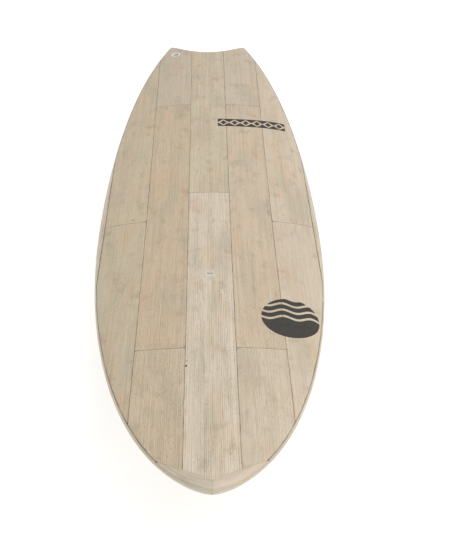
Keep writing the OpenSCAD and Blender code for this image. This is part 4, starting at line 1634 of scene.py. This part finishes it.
@dataclass
class LeashPlug:
    """The leash plug near the tail on the rider's right: a moulded cup around a steel bar."""

    shape: BoardShape
    finish: Finish
    from_tail: float = 55.0
    from_rail: float = 31.0
    radius: float = 14.0
    wall: float = 3.0
    depth: float = 17.0
    floor: float = 2.5
    bar_r: float = 2.06
    bar_drop: float = 4.5
    pocket_fit: float = 0.2
    rounding: float = 0.6

    @property
    def place(self) -> Matrix:
        """Placing of the plug on the deck."""
        t = self.shape.length - self.from_tail - self.radius
        x = self.from_rail + self.radius - float(self.shape.half_w(np.array(t)))
        return self.shape.fitting(Face.DECK, x, t)

    def opening(self) -> tuple[Array, Matrix]:
        """The pocket that the planks leave for the cup."""
        return circle(self.radius + self.pocket_fit), self.place

    def build(self) -> None:
        """Builds the cup, with the bar's hole through its wall."""
        inside = self.radius - self.wall
        base = self.floor - self.depth
        profile = [
            (AXIS_R, -self.depth),
            (self.radius, -self.depth),
            (self.radius, 0),
            (inside, 0),
            (inside, base),
            (AXIS_R, base),
        ]
        cup = lathe("leash_cup_moulding", np.array(profile, float), self.place)
        down = Matrix.Translation((0, 0, -self.bar_drop))
        across = self.place @ down @ Matrix.Rotation(math.pi / 2, 4, "Y")
        reach = self.radius + 1
        cut_out(cup, [prism("cutter", circle(self.bar_r, 48), -reach, reach, across)])
        round_edges(cup, self.rounding)
        hand_over(cup, self.finish, "board", ("leash_cup",))


@dataclass
class FinSet:
    """Three removable fins in single-slot boxes: two toed-in side fins and a centre fin."""

    shape: BoardShape
    laminate: Finish
    side_from_tail: float = 338.0
    side_from_rail: float = 37.5
    side_toe: float = 2.4
    side_cant: float = 6.0
    centre_from_tail: float = 152.0
    base: float = 112.0
    depth: float = 114.0
    thick: float = 6.8
    tab: float = 13.0
    tab_gap: float = 0.2
    box_wall: float = 5.0
    land: float = 10.0
    lip: float = 2.5
    pocket_fit: float = 0.2
    edge: float = 0.5
    taper: float = 0.72
    drop: float = 0.3
    side_fullness: float = 1.6
    rows: int = 44
    cols: int = 30

    # Curve points of the leading and the trailing edge, as shares of base and depth
    LEAD = ((0.0, 0.0), (0.2, 0.42), (0.62, 0.96), (1.1, 1.0))
    TRAIL = ((1.0, 0.0), (0.83, 0.3), (0.96, 0.75), (1.14, 0.985))
    # Half thickness of a common foil section: factors of the square root and the first four powers
    SECTION = (1.48, -0.63, -1.76, 1.42, -0.51)
    TIP_CROWDING = 1.4
    TAB_LAP = 0.5  # how far the tab runs into the foil

    @property
    def slot_half(self) -> float:
        """Half the distance between the centres of the slot's round ends."""
        return (self.base - self.thick) / 2

    @property
    def box_w(self) -> float:
        """Width of the fin box's body."""
        return self.thick + 2 * self.tab_gap + 2 * self.box_wall

    def place(self, side: Side) -> Matrix:
        """Placing of a fin box on the bottom, with its front towards the nose."""
        if side is Side.CENTRE:
            return self.shape.fitting(Face.BOTTOM, 0.0, self.shape.length - self.centre_from_tail)
        t = self.shape.length - self.side_from_tail
        back = t + self.slot_half + self.box_w / 2
        x = side.value * (float(self.shape.half_w(np.array(back))) - self.side_from_rail)
        return self.shape.fitting(Face.BOTTOM, x, t, -side.value * self.side_toe, side is Side.RIGHT)

    def opening(self, side: Side) -> tuple[Array, Matrix]:
        """The pocket that the bottom planks leave for a fin box's flange."""
        radius = self.box_w / 2 + self.lip + self.pocket_fit
        return stadium(-self.slot_half - self.land, self.slot_half, radius), self.place(side)

    def foil(self, side: Side) -> list[Array]:
        """The two faces of a fin's foil, leading edge first, in the fin box's frame."""
        share = 1 - (1 - np.linspace(0, 1, self.rows + 1)) ** self.TIP_CROWDING
        base, depth = self.base, self.depth
        lead, trail = (
            bezier(np.array(edge) * (base, depth), share)[:, None] for edge in (self.LEAD, self.TRAIL)
        )
        chord = (np.linspace(0, 1, self.cols + 1) ** 2)[None, :, None]
        point = lead + (trail - lead) * chord
        along, down = point[..., 0], point[..., 1]
        c = chord[..., 0]
        half = self.SECTION[0] * np.sqrt(c)
        for power, factor in enumerate(self.SECTION[1:], 1):
            half = half + factor * c**power
        half = half * (self.thick - self.edge) * (1 - self.taper * down / depth)
        cant = 0.0 if side is Side.CENTRE else math.tan(math.radians(self.side_cant))
        full = 1.0 if side is Side.CENTRE else self.side_fullness
        ease = self.edge / 2 * np.sqrt(np.clip(1 - (2 * c - 1) ** 8, 0, 1))
        faces = []
        for face, fullness in ((-1, 2 - full), (1, full)):
            out = face * (half * fullness + ease) + down * cant
            faces.append(np.stack([out, along - base / 2, -down - self.drop], -1))
        return faces

    def build(self) -> None:
        """Builds the three fins, each a foil and its tab."""
        for side in Side:
            place = self.place(side)
            outer, inner = [moved(face.reshape(-1, 3), place) for face in self.foil(side)]
            rows, cols = self.rows + 1, self.cols + 1
            faces = slab_faces(rows, cols)
            tab = stadium(-self.slot_half, self.slot_half, self.thick / 2)
            faces += prism_faces(len(tab), 2 * rows * cols)
            heights = (-self.drop - self.TAB_LAP, self.tab)
            levels = [np.column_stack([tab, np.full(len(tab), z)]) for z in heights]
            points = np.concatenate([outer, inner, moved(np.concatenate(levels), place)])
            name = f"fin_{side.name.lower()}"
            piece = smooth_piece(f"{name}_laminate", points, faces)
            hand_over(piece, self.laminate, name, (name,))


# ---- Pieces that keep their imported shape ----


@dataclass
class PackedPieces:
    """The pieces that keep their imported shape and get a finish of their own."""

    finishes: dict[Finish, tuple[str, ...]]

    def build(self) -> None:
        """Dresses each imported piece."""
        for finish, nodes in self.finishes.items():
            for node in nodes:
                finish.dress(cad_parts[node])
                log.info("%s: %s", node, finish.name)


# ---- Studio ----


@dataclass
class Studio:
    """A pale floor, soft light from above and a camera that looks down the board from its nose.

    Sizes and places are in metres, the lens and the sensor in millimetres, and angles in degrees.
    """

    floor_size: float = 60.0
    floor_gap: float = 0.002
    camera_place: tuple[float, float, float] = (-0.00596, -1.8273, 1.2666)
    yaw: float = -2.56
    pitch: float = 38.60
    roll: float = 1.19
    lens: float = 59.06
    sensor: float = 36.0
    sky_strength: float = 0.75
    key_power: float = 60.0
    key_size: float = 3.0
    key_place: tuple[float, float, float] = (1.6, -0.6, 3.2)

    def floor(self) -> None:
        """Lays the floor just below the lowest piece."""
        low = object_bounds()[0].z - self.floor_gap
        half = self.floor_size / 2
        mesh = bpy.data.meshes.new("floor")
        corners = [(x * half, y * half, low) for x, y in ((-1, -1), (1, -1), (1, 1), (-1, 1))]
        mesh.from_pydata(corners, [], [(0, 1, 2, 3)])
        floor = in_scene("floor", mesh)
        StudioPaper("white_studio_paper").dress(floor)
        floor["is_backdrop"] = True

    def light(self) -> None:
        """Sets a white sky and one large soft lamp."""
        world = bpy.data.worlds.new("sky")
        bpy.context.scene.world = world
        world.use_nodes = True
        sky = world.node_tree.nodes["Background"]
        sky.inputs["Color"].default_value = linear("#FFFFFF")
        sky.inputs["Strength"].default_value = self.sky_strength
        lamp = bpy.data.lights.new("key", "AREA")
        lamp.shape = "SQUARE"
        lamp.size = self.key_size
        lamp.energy = self.key_power
        key = in_scene("key", lamp)
        key.location = self.key_place
        key.rotation_euler = (-Vector(self.key_place)).to_track_quat("-Z", "Y").to_euler()

    def camera(self) -> None:
        """Sets the camera."""
        data = bpy.data.cameras.new("camera")
        data.lens = self.lens
        data.sensor_width = self.sensor
        camera = in_scene("camera", data)
        camera.matrix_world = (
            Matrix.Translation(self.camera_place)
            @ Matrix.Rotation(math.radians(self.yaw), 4, "Z")
            @ Matrix.Rotation(math.radians(90 - self.pitch), 4, "X")
            @ Matrix.Rotation(math.radians(self.roll), 4, "Z")
        )
        bpy.context.scene.camera = camera

    def build(self) -> None:
        """Builds the studio."""
        self.floor()
        self.light()
        self.camera()
        bpy.context.scene.view_settings.view_transform = "Standard"


# ---- The board ----


def balsa(
    name: str,
    pale: str,
    pitch: float,
    depth: float,
    fleck: float,
    number: int,
    layer: float = 0.0,
    coat: float = 0.25,
) -> CoatedBalsa:
    """One plank's wood.

    Args:
        name: the plank's place on the board.
        pale: the wood's ground colour; on the deck planks on the rider's right it is also darkened as painted
            shade.
        pitch: distance between growth lines.
        depth: how dark the growth lines are.
        fleck: how dark the vessel marks are.
        number: picks another part of the tree, so that no two planks match.
        layer: thickness of one laminated layer, or 0.
        coat: how much the clear coat shows.

    Returns:
        The finish.
    """
    shift = (137.0 * number, 911.0 * number, 53.0 * number)
    return CoatedBalsa(f"clear_coated_balsa_{name}", pale, pitch, depth, fleck, shift, layer, coat)


# Each plank has its own tone, and the deck planks on the rider's right are set darker and browner than those
# on the left: painted shade for the side turned away from the lamp.
DECK_WOODS = {
    "mid_nose": balsa("deck_mid_nose", "#D8CBB6", 3.6, 0.72, 0.6, 1),
    "mid_tail": balsa("deck_mid_tail", "#CDBFA5", 3.4, 0.5, 0.65, 2),
    "inner_left_nose": balsa("deck_inner_left_nose", "#D0C1AA", 3.4, 0.5, 0.6, 3),
    "inner_left_mid": balsa("deck_inner_left_mid", "#CEBBA2", 3.0, 0.3, 0.5, 4),
    "inner_left_tail": balsa("deck_inner_left_tail", "#CCBDA6", 3.4, 0.35, 0.6, 5),
    "inner_right_nose": balsa("deck_inner_right_nose", "#CCBAA0", 3.4, 0.65, 0.75, 6),
    "inner_right_mid": balsa("deck_inner_right_mid", "#C9B599", 3.6, 0.45, 0.65, 7),
    "inner_right_tail": balsa("deck_inner_right_tail", "#C6B7A0", 3.2, 0.35, 0.65, 8),
    "outer_left_nose": balsa("deck_outer_left_nose", "#D2C2AC", 3.0, 0.35, 0.5, 9),
    "outer_left_tail": balsa("deck_outer_left_tail", "#D4C4AD", 3.4, 0.35, 0.5, 10),
    "outer_right_nose": balsa("deck_outer_right_nose", "#C7B89D", 3.4, 0.4, 0.55, 11),
    "outer_right_tail": balsa("deck_outer_right_tail", "#C9B89C", 3.2, 0.35, 0.6, 12),
}
BOTTOM_WOODS = {
    "mid_nose": balsa("bottom_mid_nose", "#CFC1A8", 3.6, 0.5, 0.45, 21),
    "mid_tail": balsa("bottom_mid_tail", "#D2C3A9", 3.2, 0.35, 0.5, 22),
    "inner_left_nose": balsa("bottom_inner_left_nose", "#CCBBA0", 3.4, 0.4, 0.5, 23),
    "inner_left_tail": balsa("bottom_inner_left_tail", "#D3C3A8", 3.0, 0.3, 0.5, 24),
    "inner_right_nose": balsa("bottom_inner_right_nose", "#D1BFA4", 3.2, 0.35, 0.5, 25),
    "inner_right_tail": balsa("bottom_inner_right_tail", "#CABA9F", 3.4, 0.4, 0.55, 26),
    "outer_left_nose": balsa("bottom_outer_left_nose", "#D0C1A8", 3.0, 0.35, 0.5, 27),
    "outer_left_tail": balsa("bottom_outer_left_tail", "#CDBBA1", 3.4, 0.35, 0.5, 28),
    "outer_right_nose": balsa("bottom_outer_right_nose", "#CBBDA3", 3.2, 0.35, 0.5, 29),
    "outer_right_tail": balsa("bottom_outer_right_tail", "#D2C1A7", 3.0, 0.3, 0.5, 30),
}
RAIL_WOOD = balsa("rail", "#D2C4AC", 3.0, 0.3, 0.35, 41, 6.5, 0.6)
NOSE_WOODS = {
    Side.LEFT: balsa("nose_block_left", "#CEC2AF", 2.6, 0.2, 0.3, 42, 0.0, 0.9),
    Side.RIGHT: balsa("nose_block_right", "#C9C0AC", 2.6, 0.25, 0.3, 44, 7.5, 0.9),
}
TAIL_WOOD = balsa("tail_block", "#D2BFAA", 2.8, 0.3, 0.35, 43, 0.0, 0.9)
# Balsa as it leaves the saw: dull, with faint darker clouds and a rough skin.
RAW_BALSA = Moulded("sawn_balsa", "#D2C4AC", "#BFAE90", 12.0, 0.6, 0.75, 1.5, 0.06)
# Pin knots: hard, near-black wood.
KNOT_WOOD = Moulded("dark_pin_knot", "#2A2119", "#3D3025", 1.5, 0.4, 0.5)
# Set epoxy and sawdust: a dark, dull line that varies along its run.
GLUE = Moulded("dark_epoxy_glue", "#41362B", "#A08D72", 38.0, 0.8, 0.6)
# The same glue in the close-fitting joints of the blocks: thinner, so paler.
PALE_GLUE = Moulded("thin_epoxy_glue", "#9A8872", "#B9A88F", 30.0, 0.8, 0.6)
# Screen-printed ink on tissue: near black, faintly fibrous, under the same satin coat.
INK = Moulded("charcoal_screen_ink", "#2B2722", "#37322B", 9.0, 0.7, 0.6, 1.5, 0.02)
# Acetal, injection moulded: white with a slight milkiness.
WHITE_ACETAL = Moulded("white_moulded_acetal", "#EFEEE8", "#E4E2DA", 6.0, 0.25, 0.35, 1.48)
# The same, yellowed by the sun to a dull cream.
CREAM_ACETAL = Moulded("cream_moulded_acetal", "#D8D2C4", "#CBC4B5", 6.0, 0.25, 0.42, 1.48)
# Acetal, injection moulded and grey, which shows fine flow marks.
GREY_ACETAL = Moulded("grey_moulded_acetal", "#C6C3BB", "#A8A59D", 3.0, 0.2, 0.42, 1.48)
# Glass-filled nylon, injection moulded: an off-white, slightly rough box.
BOX_NYLON = Moulded("glass_filled_nylon", "#DAD9D3", "#CBCAC3", 5.0, 0.35, 0.5, 1.53)
# Nitrile rubber, compression moulded: black and dull.
SEAL_RUBBER = Moulded("black_nitrile_rubber", "#191918", "#262524", 2.0, 0.15, 0.7, 1.52)
# Stretched fluoropolymer film: white, soft, and finely porous.
VENT_FILM = Moulded("white_porous_film", "#F2F2EF", "#E3E3DF", 1.0, 0.12, 0.8, 1.38)
# Expanded polystyrene, hot-wire cut: white beads with faint grey walls.
BEAD_FOAM = CellFoam("white_bead_foam", "#F3F4F2", "#D5D8D8", 3.5)
# Structural foam, milled: straw-coloured fine cells.
DENSE_FOAM = CellFoam("straw_structural_foam", "#D9CC9F", "#B9A976", 0.9)
GLASS_CLOTH = ResinCloth("clear_glass_cloth", "#E4E9E2", "#C4CEC2", 1.6, 0.3)
FIN_LAMINATE = ResinCloth("smoked_glass_laminate", "#4C4E4F", "#1F2122", 2.2, 0.25, ("Y", "Z"))
STEEL = TurnedSteel("turned_stainless_steel")


def both(stem: str) -> tuple[str, str]:
    """The names of a pair of nodes, left and right."""
    return f"{stem}_left", f"{stem}_right"


def main() -> None:
    """Builds the surfboard's looks and the studio."""
    logging.basicConfig(level=logging.INFO, format="%(message)s")
    shape = BoardShape()
    vent = Vent(shape, CREAM_ACETAL, GREY_ACETAL)
    plug = LeashPlug(shape, WHITE_ACETAL)
    fins = FinSet(shape, FIN_LAMINATE)
    deck = Skin(
        shape,
        Face.DECK,
        mid_butts=(928.0,),
        inner_butts=(357.0, shape.length - 400.0),
        outer_butts=(812.0,),
        woods=DECK_WOODS,
        openings={"deck_plank_mid_nose": [vent.opening()], "deck_plank_inner_right_tail": [plug.opening()]},
    )
    bottom = Skin(
        shape,
        Face.BOTTOM,
        mid_butts=(560.0,),
        inner_butts=(shape.length - 598.0,),
        outer_butts=(720.0,),
        woods=BOTTOM_WOODS,
        openings={
            "bottom_plank_mid_tail": [fins.opening(Side.CENTRE)],
            "bottom_plank_outer_left_tail": [fins.opening(Side.LEFT)],
            "bottom_plank_outer_right_tail": [fins.opening(Side.RIGHT)],
        },
    )
    inside = PackedPieces(
        {
            BEAD_FOAM: ("foam_core",),
            DENSE_FOAM: ("vent_insert", "leash_insert", "fin_insert_centre", *both("fin_insert")),
            GLASS_CLOTH: ("deck_glass", "bottom_glass"),
            BOX_NYLON: ("fin_box_centre", *both("fin_box")),
            STEEL: ("leash_bar", "grub_screw_centre", *both("grub_screw")),
            SEAL_RUBBER: ("vent_o_ring",),
            VENT_FILM: ("vent_membrane",),
            RAW_BALSA: (*both("rail_strip_outer"), *both("rail_strip_inner")),
        }
    )
    parts = (
        deck,
        bottom,
        GlueLines(deck, GLUE),
        GlueLines(bottom, GLUE),
        BlockGlue(shape, PALE_GLUE),
        Rails(shape, RAIL_WOOD),
        NoseBlock(shape, NOSE_WOODS),
        TailBlock(shape, TAIL_WOOD),
        DeckMarks(shape, INK, KNOT_WOOD),
        vent,
        plug,
        fins,
        inside,
        Studio(),
    )
    for part in parts:
        part.build()


if __name__ == "__main__":
    main()
